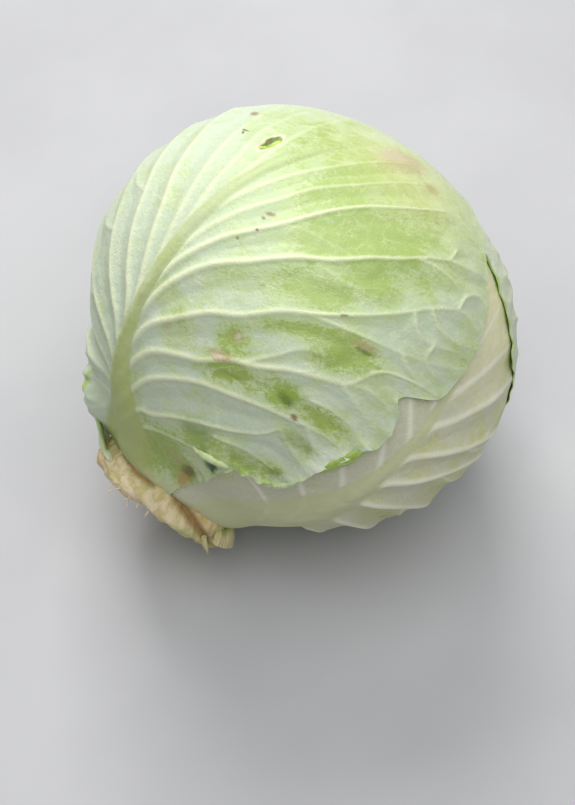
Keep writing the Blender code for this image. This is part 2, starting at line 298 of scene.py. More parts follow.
stump_turns = np.linspace(-180, 180, count(300) + 1)[:-1]
stump_rows = np.linspace(0, 1, count(130) + 1)
turn_grid, row_grid = np.meshgrid(stump_turns, stump_rows)
stump_radius, stump_depth, stump_crease = stump_surface(turn_grid, row_grid)
stump_radius[0] = stump_radius[-1] = 0
stump_points = round_stem(turn_grid, stump_depth, stump_radius)
faces, used = turned_faces(turn_grid.shape, True)
stump_flat = np.stack([turn_grid * COLLAR_DEGREE, stump_depth + 0.6 * (COLLAR_RADIUS - stump_radius),
                       0 * turn_grid], -1).reshape(-1, 3)[used]
skin = (1 - smooth_step(-100, -62, turn_grid)) * smooth_step(88, 96, stump_depth)
skin = skin + mounds(turn_grid, stump_depth, SKIN_PLACES)
marks = {"dried": mounds(turn_grid, stump_depth, DRIED_AND_SHADED_PLACES), "skin": skin, "crease": stump_crease}
marks = {key: values.ravel()[used] for key, values in marks.items()}
stump = add_object("stem_stump", stump_points.reshape(-1, 3)[used], faces, [stump_finish()],
                   flat=stump_flat, masks=marks)
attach(stump, "root")
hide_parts("stem_stump")


# ---- Splinters and fibres on the stump ------------------------------------------------
# Where older leaves were broken off, spikes of their skin stand at the rim, and a few
# pale threads, the stem's drawn-out vessels, hang from the cut. They grew from the stump.


def add_strands(name, strands, material):
    """Tapered strands with an oval section. A strand is its path, its half width and half
    thickness at the root, and the share of them left at the tip."""
    around, along, step = 8, 14, 1.5
    vertices, faces, flat = [], [], []
    for path, wide, thick, tip in strands:
        share = np.linspace(0, 1, along)
        _, line = curve_through(path)
        middle = read_path(line, share)
        forward = unit(np.gradient(middle, axis=0))
        across = unit(np.cross(forward, unit(middle - centre)))
        out = np.cross(across, forward)
        start = len(vertices)
        for k in range(along):
            size = 1 + (tip - 1) * share[k] ** 0.9
            for n in range(around):
                turn = 2 * pi * n / around
                from_middle = wide * cos(turn) * across[k] + thick * sin(turn) * out[k]
                vertices.append(middle[k] + MM * size * from_middle)
                flat.append((n * wide, k * step, 0))
        ring = np.arange(along * around).reshape(along, around) + start
        faces += quads(np.column_stack([ring, ring[:, :1]]))
        faces += [ring[0][::-1].tolist(), ring[-1].tolist()]
    piece = add_object(name, np.array(vertices), faces, [material], flat=np.array(flat, float))
    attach(piece, "root")


def unit(vectors):
    return vectors / np.linalg.norm(vectors, axis=-1, keepdims=True)


def curve_through(points, steps=10):
    """A smooth curve through points: shares of its length, and places."""
    p = np.array(points, float)
    p = np.vstack([2 * p[0] - p[1], p, 2 * p[-1] - p[-2]])
    t = np.linspace(0, 1, steps, endpoint=False)[:, None]
    pieces = []
    for a, b, c, d in zip(p, p[1:], p[2:], p[3:]):
        bend = (2 * a - 5 * b + 4 * c - d) * t**2 + (3 * b - a - 3 * c + d) * t**3
        pieces.append((2 * b + (c - a) * t + bend) / 2)
    line = np.vstack(pieces + [p[-2:-1]])
    lengths = np.concatenate([[0], np.cumsum(np.linalg.norm(np.diff(line, axis=0), axis=1))])
    return lengths / lengths[-1], line


def strand_path(*places):
    return [round_stem(turn, depth, radius) for turn, depth, radius in places]


def thread_finish():
    finish = Finish("dry_thread", 0.65, (0.72, 0.58, 0.42))
    finish.paint(finish.reach(0.35, 0.65, finish.noise(0.5, 3.0)), (0.52, 0.36, 0.22))
    finish.relief(finish.noise(2.0), 0.3, 0.2)
    return finish.done()


def splinter_finish():
    """Pale green skin that dried to brown at the tip."""
    finish = Finish("leaf_skin_splinter", 0.55, (0.60, 0.58, 0.27))
    finish.paint(finish.reach(0.3, 0.7, finish.noise(0.3, 3.0)), (0.68, 0.58, 0.31))
    from_root = finish.node("SeparateXYZ", {"Vector": finish.flat}, 1)
    finish.paint(finish.reach(9.0, 21.0, from_root), (0.30, 0.18, 0.05), 0.7)
    finish.relief(finish.noise(0.8), 0.4, 0.3)
    return finish.done()


add_strands("stump_splinters", [
    (strand_path((-72, 95, 31.0), (-78, 97.6, 32.2), (-83, 99.6, 33.0), (-88, 101.6, 33.8)), 2.6, 1.4, 0.05),
    (strand_path((-104, 90.5, 29.6), (-108, 93, 31.2), (-111, 95.0, 32.0)), 2.2, 1.1, 0.4),
    (strand_path((150, 97, 31.2), (153, 101, 32.2), (155, 104, 33.4)), 2.2, 0.9, 0.1),
], splinter_finish())
add_strands("stump_fibres", [
    (strand_path((6, 97, 31.0), (6, 99.6, 32.8), (8, 101.2, 34.2), (7, 102.4, 35.6)), 0.6, 0.4, 0.35),
    (strand_path((7, 97, 31.6), (8, 97.6, 33.4), (8, 97.6, 34.8)), 0.45, 0.35, 0.2),
    (strand_path((-5, 97, 31.2), (-6, 99.6, 32.3), (-8, 101.2, 33.3), (-9, 102.2, 34.0)), 0.6, 0.4, 0.35),
    (strand_path((-6, 97, 31.2), (-5, 99.4, 32.8), (-4, 100.4, 34.0)), 0.45, 0.35, 0.25),
    (strand_path((-13, 96.4, 31.2), (-14, 98.4, 32.4), (-15, 100.0, 33.5)), 0.5, 0.35, 0.3),
    (strand_path((-22, 95.6, 31.2), (-23, 98.0, 32.4), (-23, 100.0, 33.5)), 0.6, 0.4, 0.35),
    (strand_path((96, 99, 31.6), (99, 101.6, 32.4), (97, 103.6, 33.2)), 0.45, 0.35, 0.25),
    (strand_path((-150, 99.5, 31.2), (-152, 102, 32.0), (-149, 104, 32.6)), 0.45, 0.35, 0.25),
], thread_finish())


# ---- Front leaf -----------------------------------------------------------------------
# The outermost leaf still on the head: thick and waxy, with a broad bent-in stalk, pale
# raised veins that fan out to both sides, a torn right margin and a frilled left foot.
# It grows from the stump's collar and is wrapped over the crown.

HEAD_RADIUS = 0.0924
CROWN_HEIGHT = 0.0829
BASE_DEPTH = 0.0815
NECK_SWELL = 0.0075
NECK_SWELL_AT, NECK_SWELL_WIDE = radians(168), radians(16)
NECK_FLARE = 0.0050
NECK_FLARE_FROM = radians(146)
NECK_HALF_ANGLE = radians(19)
FLAT_DEPTH = 0.0018
FLAT_SPARE = 0.0001
LUMP_HEIGHT = 0.0007
# Angles from straight down, between which the head turns from flat to round.
EVEN_BELOW, ROUND_ABOVE = radians(15), radians(45)
SMOOTH_BELOW, LUMPY_ABOVE = radians(20), radians(50)
PRESSED_BELOW, FREE_ABOVE = radians(3), radians(28)
# Degrees from the crown, degrees round it, height, and half width in degrees.
BULGES = [
    (48, 71, 2.3, 22), (123, 61, -2.4, 15), (132, -109, 1.7, 15), (95, 100, 0.6, 20),
    (110, -20, -0.8, 18), (78, 66, -1.4, 16), (72, -117, 1.2, 14),
]


def angle_from(axis, rays):
    return np.arccos(np.clip(rays @ axis, -1.0, 1.0))


def direction(from_crown, turn):
    """Directions from the head's centre, by angles from the crown and round from the top."""
    from_crown = np.asarray(from_crown, float)[..., None]
    turn = np.asarray(turn, float)[..., None]
    return crown * np.cos(from_crown) + (top * np.cos(turn) + side * np.sin(turn)) * np.sin(from_crown)


def round_head_radius(rays):
    from_crown = angle_from(crown, rays)
    along = np.where(from_crown < pi / 2, CROWN_HEIGHT, BASE_DEPTH)
    ellipse = 1 / np.sqrt((np.cos(from_crown) / along) ** 2 + (np.sin(from_crown) / HEAD_RADIUS) ** 2)
    return ellipse + NECK_SWELL * np.exp(-(((from_crown - NECK_SWELL_AT) / NECK_SWELL_WIDE) ** 2))


rest_radius = CENTRE_HEIGHT + FLAT_DEPTH


def lumps(rays):
    """The low waves that leaves folded inside press through to the outside."""
    waves = [((5, 1, -3), 0.4), ((-2, 6, 3), 1.9), ((3, -4, 6), 4.1), ((7, 5, 2), 2.7), ((-6, 3, -7), 0.9)]
    total = LUMP_HEIGHT / len(waves) * sum(np.sin(rays @ np.array(wave) + phase) for wave, phase in waves)
    for from_crown, turn, high, wide in BULGES:
        apart = angle_from(direction(radians(from_crown), radians(turn)), rays)
        total = total + high * MM * np.exp(-((apart / radians(wide)) ** 2))
    return total * smooth_step(SMOOTH_BELOW, LUMPY_ABOVE, angle_from(-upward, rays))


def leaf_surface_radius(rays):
    """The outermost surface of the closed head, before it is pressed on the floor."""
    near_floor = 1 - smooth_step(EVEN_BELOW, ROUND_ABOVE, angle_from(-upward, rays))
    free = round_head_radius(rays) + lumps(rays)
    flare = smooth_step(NECK_FLARE_FROM, pi - NECK_HALF_ANGLE, angle_from(crown, rays)) ** 2
    return free + (rest_radius - free) * near_floor + NECK_FLARE * flare


def pressed_in(rays):
    """How far the inner layers are pushed in over the flat spot."""
    from_below = angle_from(-upward, rays)
    return (FLAT_DEPTH + FLAT_SPARE) * (1 - smooth_step(PRESSED_BELOW, FREE_ABOVE, from_below))


def floor_distance(rays):
    """How far the floor is along each ray from the head's centre."""
    drop, least, far_off = -rays[..., 2], 0.2, 10.0
    return np.where(drop > least, centre[2] / np.maximum(drop, least), far_off)


OUTLINE_RADIUS = 90.0
LEAF_MIDDLE = radians(85)
LAYER = 1.35
TUCK_FLAT = 4.0
TUCK_RAMP = 34.0
LEAF_THICKNESS = 0.8
THINNEST_LEAF = 0.4
ROUND_FOOT = 0.32
VEIN_REACH = 12.0
NO_VEIN_NEAR = 20.0
RUN_OFF = 13
NEAR_STALK = 13
LOWEST_RUN_OFF = -84
STALK_END = 3.6


def read_curve(curve, share):
    lengths, line = curve
    return np.stack([np.interp(share, lengths, line[:, axis]) for axis in range(line.shape[1])], -1)


class Sheet:
    """A leaf laid out flat, in millimetres from its middle, x to the right and y to the tip,
    and the way it wraps round the head."""

    def __init__(self, turn, foot, left, rib, right):
        self.turn = radians(turn)
        outward = direction(pi / 2, self.turn)
        self.normal = crown * cos(LEAF_MIDDLE) + outward * sin(LEAF_MIDDLE)
        self.tipward = crown * sin(LEAF_MIDDLE) - outward * cos(LEAF_MIDDLE)
        self.rightward = np.cross(self.tipward, self.normal)
        seats = [self.flat(direction(pi - NECK_HALF_ANGLE, self.turn - radians(a))) for a in foot]
        self.margins = [curve_through([seat, *line]) for seat, line in zip(seats, (left, rib, right))]
        share = np.linspace(0, 1, 90)
        left_line, _, right_line = (read_curve(margin, share) for margin in self.margins)
        self.edge = np.vstack([left_line, right_line[::-1]])

    def flat(self, rays):
        arc = angle_from(self.normal, rays) * OUTLINE_RADIUS
        xy = np.stack([rays @ self.rightward, rays @ self.tipward], -1)
        return xy * (arc / np.maximum(np.linalg.norm(xy, axis=-1), 1e-9))[..., None]

    def rays(self, xy):
        arc = np.linalg.norm(xy, axis=-1, keepdims=True)
        sideways = (xy[..., :1] * self.rightward + xy[..., 1:] * self.tipward) / np.maximum(arc, 1e-9)
        return self.normal * np.cos(arc / OUTLINE_RADIUS) + sideways * np.sin(arc / OUTLINE_RADIUS)

    def grid(self, u, v):
        """Directions for rows v from foot to tip and columns u from -1 (left) to 1 (right)."""
        left, rib, right = (read_curve(margin, v)[:, None] for margin in self.margins)
        share = np.where(u < 0, u + 1, u)[None, :, None]
        is_left = (u < 0)[None, :, None]
        start = np.where(is_left, left, rib)
        end = np.where(is_left, rib, right)
        straight = self.rays(start + (end - start) * share)
        angles = []
        for points in (start, end):
            rays = self.rays(points)
            turn = np.arctan2(rays @ side, rays @ top) - self.turn
            angles.append((angle_from(crown, rays), (turn + pi) % (2 * pi) - pi))
        share = share[..., 0]
        from_crown = angles[0][0] + (angles[1][0] - angles[0][0]) * share
        turn = angles[0][1] + (angles[1][1] - angles[0][1]) * share
        round_share = 1 - smooth_step(0.0, ROUND_FOOT, v)[:, None, None]
        return unit(direction(from_crown, self.turn + turn) * round_share + straight * (1 - round_share))

    def from_edge(self, flat):
        """Millimetres from the outline, negative inside it."""
        points = np.asarray(flat, float).reshape(-1, 2)
        nearest = np.full(len(points), 1e9)
        inside = np.zeros(len(points), bool)
        for a, b in zip(self.edge, np.roll(self.edge, -1, 0)):
            x, y = points[:, 0] - a[0], points[:, 1] - a[1]
            dx, dy = b - a
            share = np.clip((x * dx + y * dy) / max(dx * dx + dy * dy, 1e-9), 0, 1)
            nearest = np.minimum(nearest, (x - dx * share) ** 2 + (y - dy * share) ** 2)
            if dy != 0:
                inside ^= ((y < 0) != (y < dy)) & (x < dx * y / dy)
        nearest = np.sqrt(nearest) * np.where(inside, -1, 1)
        return nearest.reshape(np.shape(flat)[:-1])

    def cover(self, rays):
        """1 under the leaf, falling smoothly to 0 past its edge."""
        return 1 - smooth_step(TUCK_FLAT, TUCK_FLAT + TUCK_RAMP, self.from_edge(self.flat(rays)))


def run_off(veins, rib_curve):
    """Veins that start at the stalk, with a first stretch along it, so that they part from it."""
    _, rib = rib_curve
    joined = []
    for line, wide, high in veins:
        x, y = line[0]
        before = np.interp(y - RUN_OFF, rib[:, 1], rib[:, 0])
        from_rib = abs(x - np.interp(y, rib[:, 1], rib[:, 0]))
        if from_rib < NEAR_STALK and y > LOWEST_RUN_OFF:
            line = [(before * 0.8 + x * 0.2, y - RUN_OFF)] + list(line)
        joined.append((line, wide, high))
    return joined


def vein_group(wide, high, lines):
    """Veins that are alike: their widths and heights at start and end, and the line of each."""
    return [(line, wide, high) for line in lines]


def ridges(points, veins):
    """Height, mask and nearest distance of raised veins, in millimetres."""
    height = np.zeros(len(points))
    shown_vein = np.zeros(len(points))
    nearest = np.full(len(points), NO_VEIN_NEAR)
    for line, wide, high in veins:
        _, path = curve_through(line, 5)
        near = np.all((points > path.min(0) - VEIN_REACH) & (points < path.max(0) + VEIN_REACH), axis=1)
        spot = points[near]
        best = np.full(len(spot), 1e9)
        along = np.zeros(len(spot))
        steps = len(path) - 1
        for k in range(steps):
            a, step = path[k], path[k + 1] - path[k]
            share = np.clip(((spot - a) @ step) / max(step @ step, 1e-9), 0, 1)
            gap = np.linalg.norm(spot - a - share[:, None] * step, axis=1)
            closer = gap < best
            best = np.where(closer, gap, best)
            along = np.where(closer, (k + share) / steps, along)
        width = wide[0] + (wide[1] - wide[0]) * along
        tall = high[0] + (high[1] - high[0]) * along
        crest = np.clip(1 - (best / width) ** 2, 0, 1) ** 1.6
        skirt = 0.55 * np.exp(-((best / (width * 2.6)) ** 1.5))
        height[near] = np.maximum(height[near], (0.62 * crest + skirt) * tall)
        crest = np.clip(1 - (best / (width * 0.72)) ** 2, 0, 1)
        shown_vein[near] = np.maximum(shown_vein[near], crest * np.clip(tall, 0.2, 1.0))
        nearest[near] = np.minimum(nearest[near], best)
    return height, shown_vein, nearest


def stalk(points, rib_curve, high, wide_foot):
    """The midrib: height and mask of a band that is broad and thick at the foot."""
    _, line = rib_curve
    x, y = points[..., 0], points[..., 1]
    middle = np.interp(y, line[:, 1], line[:, 0])
    half = STALK_END + (wide_foot - STALK_END) * (1 - smooth_step(-118, -28, y)) ** 1.3
    tall = high * (1 - 0.72 * smooth_step(-75, 10, y)) * (1 - smooth_step(10, 92, y))
    crest = np.clip(1 - ((x - middle) / half) ** 2, 0, 1)
    foot_fade = smooth_step(-121, -106, y)
    return tall * foot_fade * crest**1.4, smooth_step(0, 0.45, crest) * (1 - smooth_step(30, 100, y))


def wrap_leaf(name, sheet, cells, stride, over, relief, lift, materials, crowding=1.08):
    """Builds a leaf as a closed sheet, with cells to the left and right of its rib and along it,
    and one cell inside for each stride outside. relief(points) gives raised height and masks,
    in millimetres; lift(u, v, points) gives how far the sheet stands off the head."""
    left, right, along = (count(number, stride) for number in cells)
    u = np.concatenate([np.linspace(-1, 0, left, endpoint=False), np.linspace(0, 1, right + 1)])
    v = np.linspace(0, 1, along + 1) ** crowding
    rays = sheet.grid(u, v)
    points = sheet.flat(rays)
    depth = sum(LAYER * leaf.cover(rays) for leaf in over) * MM
    shown = np.prod([1 - leaf.cover(rays) for leaf in over], axis=0) if over else np.ones(rays.shape[:-1])
    height, masks = relief(points.reshape(-1, 2))
    height = height.reshape(shown.shape)
    off = lift(u[None, :], v[:, None], points) * MM
    pressed = pressed_in(rays)
    base = leaf_surface_radius(rays) - depth + off
    outer_radius = np.minimum(base + height * MM * shown - pressed * (1 - shown), floor_distance(rays))
    outer = centre + rays * outer_radius[..., None]
    touching = np.abs(outer[..., 2]) < 1e-6
    outer[..., 2] = np.where(touching, 0.0, outer[..., 2])
    inner_radius = np.minimum(base - pressed - LEAF_THICKNESS * MM, outer_radius - THINNEST_LEAF * MM)
    inner = (centre + rays * inner_radius[..., None])[::stride, ::stride]
    count_v, count_u = shown.shape
    wide_v, wide_u = inner.shape[:2]
    ids = np.arange(count_v * count_u).reshape(count_v, count_u)
    low = np.arange(wide_v * wide_u).reshape(wide_v, wide_u) + ids.size
    faces = quads(ids) + [face[::-1] for face in quads(low)]
    outer_count, inner_count = (count_v - 1) * (count_u - 1), (wide_v - 1) * (wide_u - 1)
    for fine, coarse in zip(border(ids), border(low)):
        for k in range(len(coarse) - 1):
            run = fine[k * stride:(k + 1) * stride + 1]
            half = stride // 2
            for m in range(stride):
                anchor = coarse[k] if m < half else coarse[k + 1]
                faces.append((run[m + 1], run[m], anchor))
            faces.append((run[half], coarse[k], coarse[k + 1]))
    kinds = np.full(len(faces), 2)
    kinds[:outer_count] = 0
    kinds[outer_count:outer_count + inner_count] = 1
    vertices = np.vstack([outer.reshape(-1, 3), inner.reshape(-1, 3)])
    flat = np.vstack([points.reshape(-1, 2), points[::stride, ::stride].reshape(-1, 2)])
    flat = np.column_stack([flat, np.zeros(len(flat))])
    masks = {key: np.concatenate([values, np.zeros(low.size)]) for key, values in masks.items()}
    leaf = add_object(name, vertices, faces, materials, kinds, flat, masks)
    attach(leaf, "root")
    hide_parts(name)


def border(ids):
    """The four sides of a grid, in one turning direction."""
    return (ids[0].tolist(), ids[:, -1].tolist(), ids[-1, ::-1].tolist(), ids[::-1, 0].tolist())


def less(finish, first, second):
    return finish.node("Math", {0: first, 1: second}, operation="SUBTRACT")


def turned(finish, place, degrees):
    return finish.node("VectorRotate", {"Vector": place, "Angle": radians(degrees)}, rotation_type="Z_AXIS")


def oval(finish, x, y, wide, tall, lean, softness, fraying=2.4):
    """1 inside a ragged oval on the flat leaf, 0 outside."""
    place = turned(finish, finish.vector("SUBTRACT", finish.flat, (x, y, 0)), -lean)
    place = finish.vector("DIVIDE", place, (wide, tall, 1))
    far = finish.node("VectorMath", {0: place}, 1, operation="LENGTH")
    fray = less(finish, finish.noise(1.6 / max(wide, tall) + 0.35, 6.0, 0.75, 0.8), 0.5)
    frayed = finish.plus(far, finish.times(fray, fraying))
    return less(finish, 1.0, finish.reach(1 - softness, 1 + softness, frayed))


def vein_net(finish):
    """The net of fine veins between the raised ones, as bent cells drawn out one way."""
    wobble = finish.node("TexNoise", {"Vector": finish.flat, "Scale": 0.25, "Detail": 2.0}, 1)
    centred = finish.vector("SUBTRACT", wobble, (0.5, 0.5, 0.5))
    swirl = finish.node("VectorMath", {0: centred, "Scale": 3.0}, operation="SCALE")
    bent = turned(finish, finish.vector("ADD", finish.flat, swirl), -40)
    drawn = finish.vector("MULTIPLY", bent, (0.09, 0.17, 1))
    cells = finish.node("TexVoronoi", {"Vector": drawn, "Scale": 1.0}, feature="DISTANCE_TO_EDGE")
    net = less(finish, 1.0, finish.reach(0.0, 0.09, cells))
    return finish.times(net, finish.reach(0.35, 0.65, finish.noise(0.12)))


def leaf_finish(name, bloom, flesh, deep, vein, stem, rub_bias, spots=(), patches=(), painted_light=(), hole=None):
    """A leaf's outer side: green flesh under a whitish wax bloom that is rubbed off in
    patches, with broad tints of painted light and shade, pale veins, a fine net between them,
    and spots (scars, rot, green and some painted shade), and a hole with painted shade inside."""
    finish = Finish(name, 0.55, bloom)
    broad = finish.noise(0.055, 4.0, 0.6, 0.4)
    brush = finish.vector("MULTIPLY", turned(finish, finish.flat, -32), (0.13, 0.42, 1))
    brushed = finish.noise(1.0, 7.0, 0.74, 0.8, brush)
    worn = finish.plus(finish.times(broad, 0.9), finish.times(brushed, 0.75))
    worn = finish.plus(worn, finish.plus(finish.mark("rub"), rub_bias))
    for *place, strength in patches:
        worn = finish.plus(worn, finish.times(oval(finish, *place, 0.75), strength))
    rubbed = finish.reach(0.72, 0.97, worn)
    finish.paint(rubbed, flesh)
    finish.paint(finish.reach(0.97, 1.17, worn), deep)
    finish.paint(finish.reach(0.4, 0.75, finish.noise(0.8, 5.0, 0.7)), deep, 0.22)
    # Broad tints of painted light and shade.
    for *place, tint, strength in painted_light:
        finish.paint(oval(finish, *place, 0.9, 1.2), tint, strength)
    net = vein_net(finish)
    finish.paint(net, vein, 0.24)
    finish.paint(finish.mark("rib"), stem, 0.85)
    finish.paint(finish.mark("vein"), vein, 0.84)
    for *place, tint, strength in spots:
        finish.paint(oval(finish, *place, 0.55), tint, strength)
    # The hole is painted: a pale rim, painted shade inside it, and the green of the leaf beneath set
    # off-centre, so that a crescent of painted shade stays on one side.
    if hole:
        x, y, wide, tall, lean = hole
        for size, shift, tint in [(1.35, 0, HOLE_RIM), (1.0, 0, HOLE_PAINTED_SHADE), (0.8, 0.9, FRESH)]:
            place = (x + shift, y + 0.7 * shift, wide * size, tall * size, lean)
            finish.paint(oval(finish, *place, 0.12, 0.35), tint)
    rough = finish.node("MapRange", {"Value": rubbed, "To Min": 0.60, "To Max": 0.40})
    finish.tree.links.new(rough, finish.shader.inputs["Roughness"])
    finish.shader.inputs["Specular IOR Level"].default_value = 0.45
    crumple = finish.times(finish.noise(0.16, 3.0, 0.5), 2.2)
    grain = finish.plus(finish.times(finish.noise(1.1, 4.0, 0.6), 0.5), crumple)
    finish.relief(finish.plus(grain, finish.times(net, 0.2)), 0.5, 0.6)
    return finish.done()


def plain_leaf_finish(name, colour, streak, roughness):
    """The inner side or the cut edge of a leaf."""
    finish = Finish(name, roughness, colour)
    finish.paint(finish.reach(0.35, 0.7, finish.noise(0.16, 5.0, 0.6)), streak)
    finish.relief(finish.noise(0.9), 0.3, 0.4)
    return finish.done()


FRONT_LEFT = [
    (-34, -119), (-43, -113), (-51, -108), (-61, -101), (-72, -93), (-79, -88), (-85, -80), (-95, -66),
    (-104, -50), (-111, -33), (-116, -15), (-119, 5), (-118, 28), (-114, 52), (-107, 74), (-96, 95),
    (-79, 115), (-57, 132), (-36, 143), (-16, 149),
]
FRONT_RIB = [
    (-2, -110), (0, -95), (2, -80), (3, -60), (4, -30), (4, 0), (4, 40), (5, 80), (6, 115), (6, 149),
]
FRONT_RIGHT = [
    (33, -117), (41, -110), (49, -101), (55, -92), (59, -84), (62, -77), (67, -72), (74, -69), (79, -68),
    (84, -65), (89, -62), (93, -56), (96, -51), (98, -44), (101, -38), (104, -31), (107, -25), (108, -21),
    (112, -17), (113, -11), (112, -5), (110, 1), (106, 5), (108, 9), (113, 13), (120, 19), (122, 27),
    (122, 35), (121, 43), (119, 52), (116, 61), (111, 71), (105, 81), (98, 90), (90, 99), (80, 109),
    (68, 121), (52, 133), (40, 142), (28, 149),
]
MAIN = (2.5, 0.85)
MAIN_HIGH = (1.5, 0.55)
FORK = (1.3, 0.8)
FORK_HIGH = (0.75, 0.35)
FRONT_VEINS = vein_group(MAIN, MAIN_HIGH, [
    [(15, -76), (24, -72), (36, -64), (50, -57), (62, -51), (72, -44), (77, -37)],
    [(12, -66), (20, -56), (30, -48), (42, -41), (54, -37), (66, -33), (78, -30), (88, -28), (97, -27),
     (104, -30)],
    [(10, -54), (18, -44), (28, -38), (38, -33), (48, -25), (58, -20), (68, -13), (80, -7), (87, -3),
     (91, 6), (96, 12), (108, 17), (119, 20)],
    [(9, -42), (14, -34), (22, -26), (32, -16), (42, -9), (52, 2), (62, 10), (72, 20), (82, 33), (90, 47),
     (98, 59)],
    [(8, -28), (14, -14), (22, -2), (32, 8), (42, 20), (52, 30), (60, 42), (67, 52), (73, 64), (78, 73),
     (76, 82)],
    [(8, -14), (12, -4), (18, 8), (24, 17), (30, 28), (36, 44), (41, 56), (47, 68), (52, 80), (56, 94)],
    [(-7, -58), (-18, -52), (-30, -48), (-42, -42), (-54, -34), (-68, -26), (-84, -20)],
    [(-5, -46), (-14, -38), (-24, -30), (-34, -20), (-44, -8), (-56, 4), (-72, 14)],
    [(-3, -34), (-10, -26), (-20, -14), (-30, 0), (-42, 12), (-54, 24), (-70, 36)],
    [(-1, -24), (-8, -10), (-15, 2), (-25, 14), (-36, 28), (-48, 40), (-62, 54)],
]) + vein_group(FORK, FORK_HIGH, [
    [(77, -37), (84, -42), (92, -46), (99, -49)],
    [(55, -60), (68, -57), (80, -57), (88, -60)],
    [(84, -28), (92, -35), (101, -39)],
    [(87, -3), (93, 0), (101, 1), (110, -2)],
    [(80, -18), (90, -16), (100, -17), (109, -21)],
    [(86, -5), (96, -8), (106, -11)],
    [(52, -23), (60, -13), (66, -4), (74, 0)],
    [(94, 22), (102, 19), (112, 19)],
    [(78, 73), (84, 79), (90, 86)],
    [(70, 58), (80, 65), (92, 68)],
    [(90, 47), (98, 44), (108, 46), (118, 54)],
    [(86, 40), (94, 34), (102, 36), (112, 44)],
    [(98, 59), (104, 62), (112, 62)],
    [(98, 59), (96, 68), (99, 76), (106, 78)],
    [(102, 36), (104, 28), (112, 26)],
    [(-30, -48), (-44, -50), (-58, -46)],
    [(-34, -20), (-48, -22), (-62, -16)],
    [(-30, 0), (-44, 0), (-58, 6)],
]) + vein_group(MAIN, (0.6, 0.25), [
    [(2, 20), (-1, 38), (-6, 56), (-12, 76), (-18, 94)],
]) + vein_group(MAIN, (0.6, 0.3), [
    [(-20, -98), (-34, -102), (-46, -105)],
]) + vein_group(MAIN, (0.7, 0.25), [
    [(8, 22), (13, 42), (18, 60), (21, 78), (24, 98)],
]) + vein_group(MAIN, (0.7, 0.4), [
    [(-14, -88), (-28, -88), (-44, -90), (-58, -92)],
    [(-12, -78), (-28, -76), (-46, -76), (-62, -78), (-76, -84)],
]) + vein_group(MAIN, (0.8, 0.3), [
    [(8, 0), (14, 18), (20, 32), (24, 46), (30, 60), (34, 74), (38, 92)],
    [(1, 4), (-4, 20), (-9, 34), (-17, 48), (-24, 66), (-32, 84)],
]) + vein_group(MAIN, (0.8, 0.4), [
    [(-10, -70), (-22, -66), (-36, -62), (-50, -56), (-64, -50), (-78, -46)],
]) + vein_group(MAIN, (0.9, 0.35), [
    [(0, -10), (-6, 6), (-14, 22), (-23, 38), (-32, 54), (-44, 72)],
]) + vein_group(MAIN, FORK_HIGH, [
    [(17, -86), (28, -80), (42, -76), (56, -74)],
]) + vein_group(FORK, (0.3, 0.15), [
    [(26, 22), (36, 30), (48, 34), (60, 38)],
    [(46, 24), (58, 26), (70, 30), (78, 36)],
]) + vein_group(FORK, (0.6, 0.3), [
    [(60, 8), (70, 12), (82, 17), (94, 22), (106, 29), (119, 38)],
])
BROWN, TAN, DARK, FRESH = (0.25, 0.15, 0.06), (0.45, 0.38, 0.18), (0.10, 0.13, 0.03), (0.27, 0.42, 0.04)
# The pale rim of the hole, and the painted shade inside it.
HOLE_RIM, HOLE_PAINTED_SHADE = (0.70, 0.66, 0.44), (0.13, 0.16, 0.03)
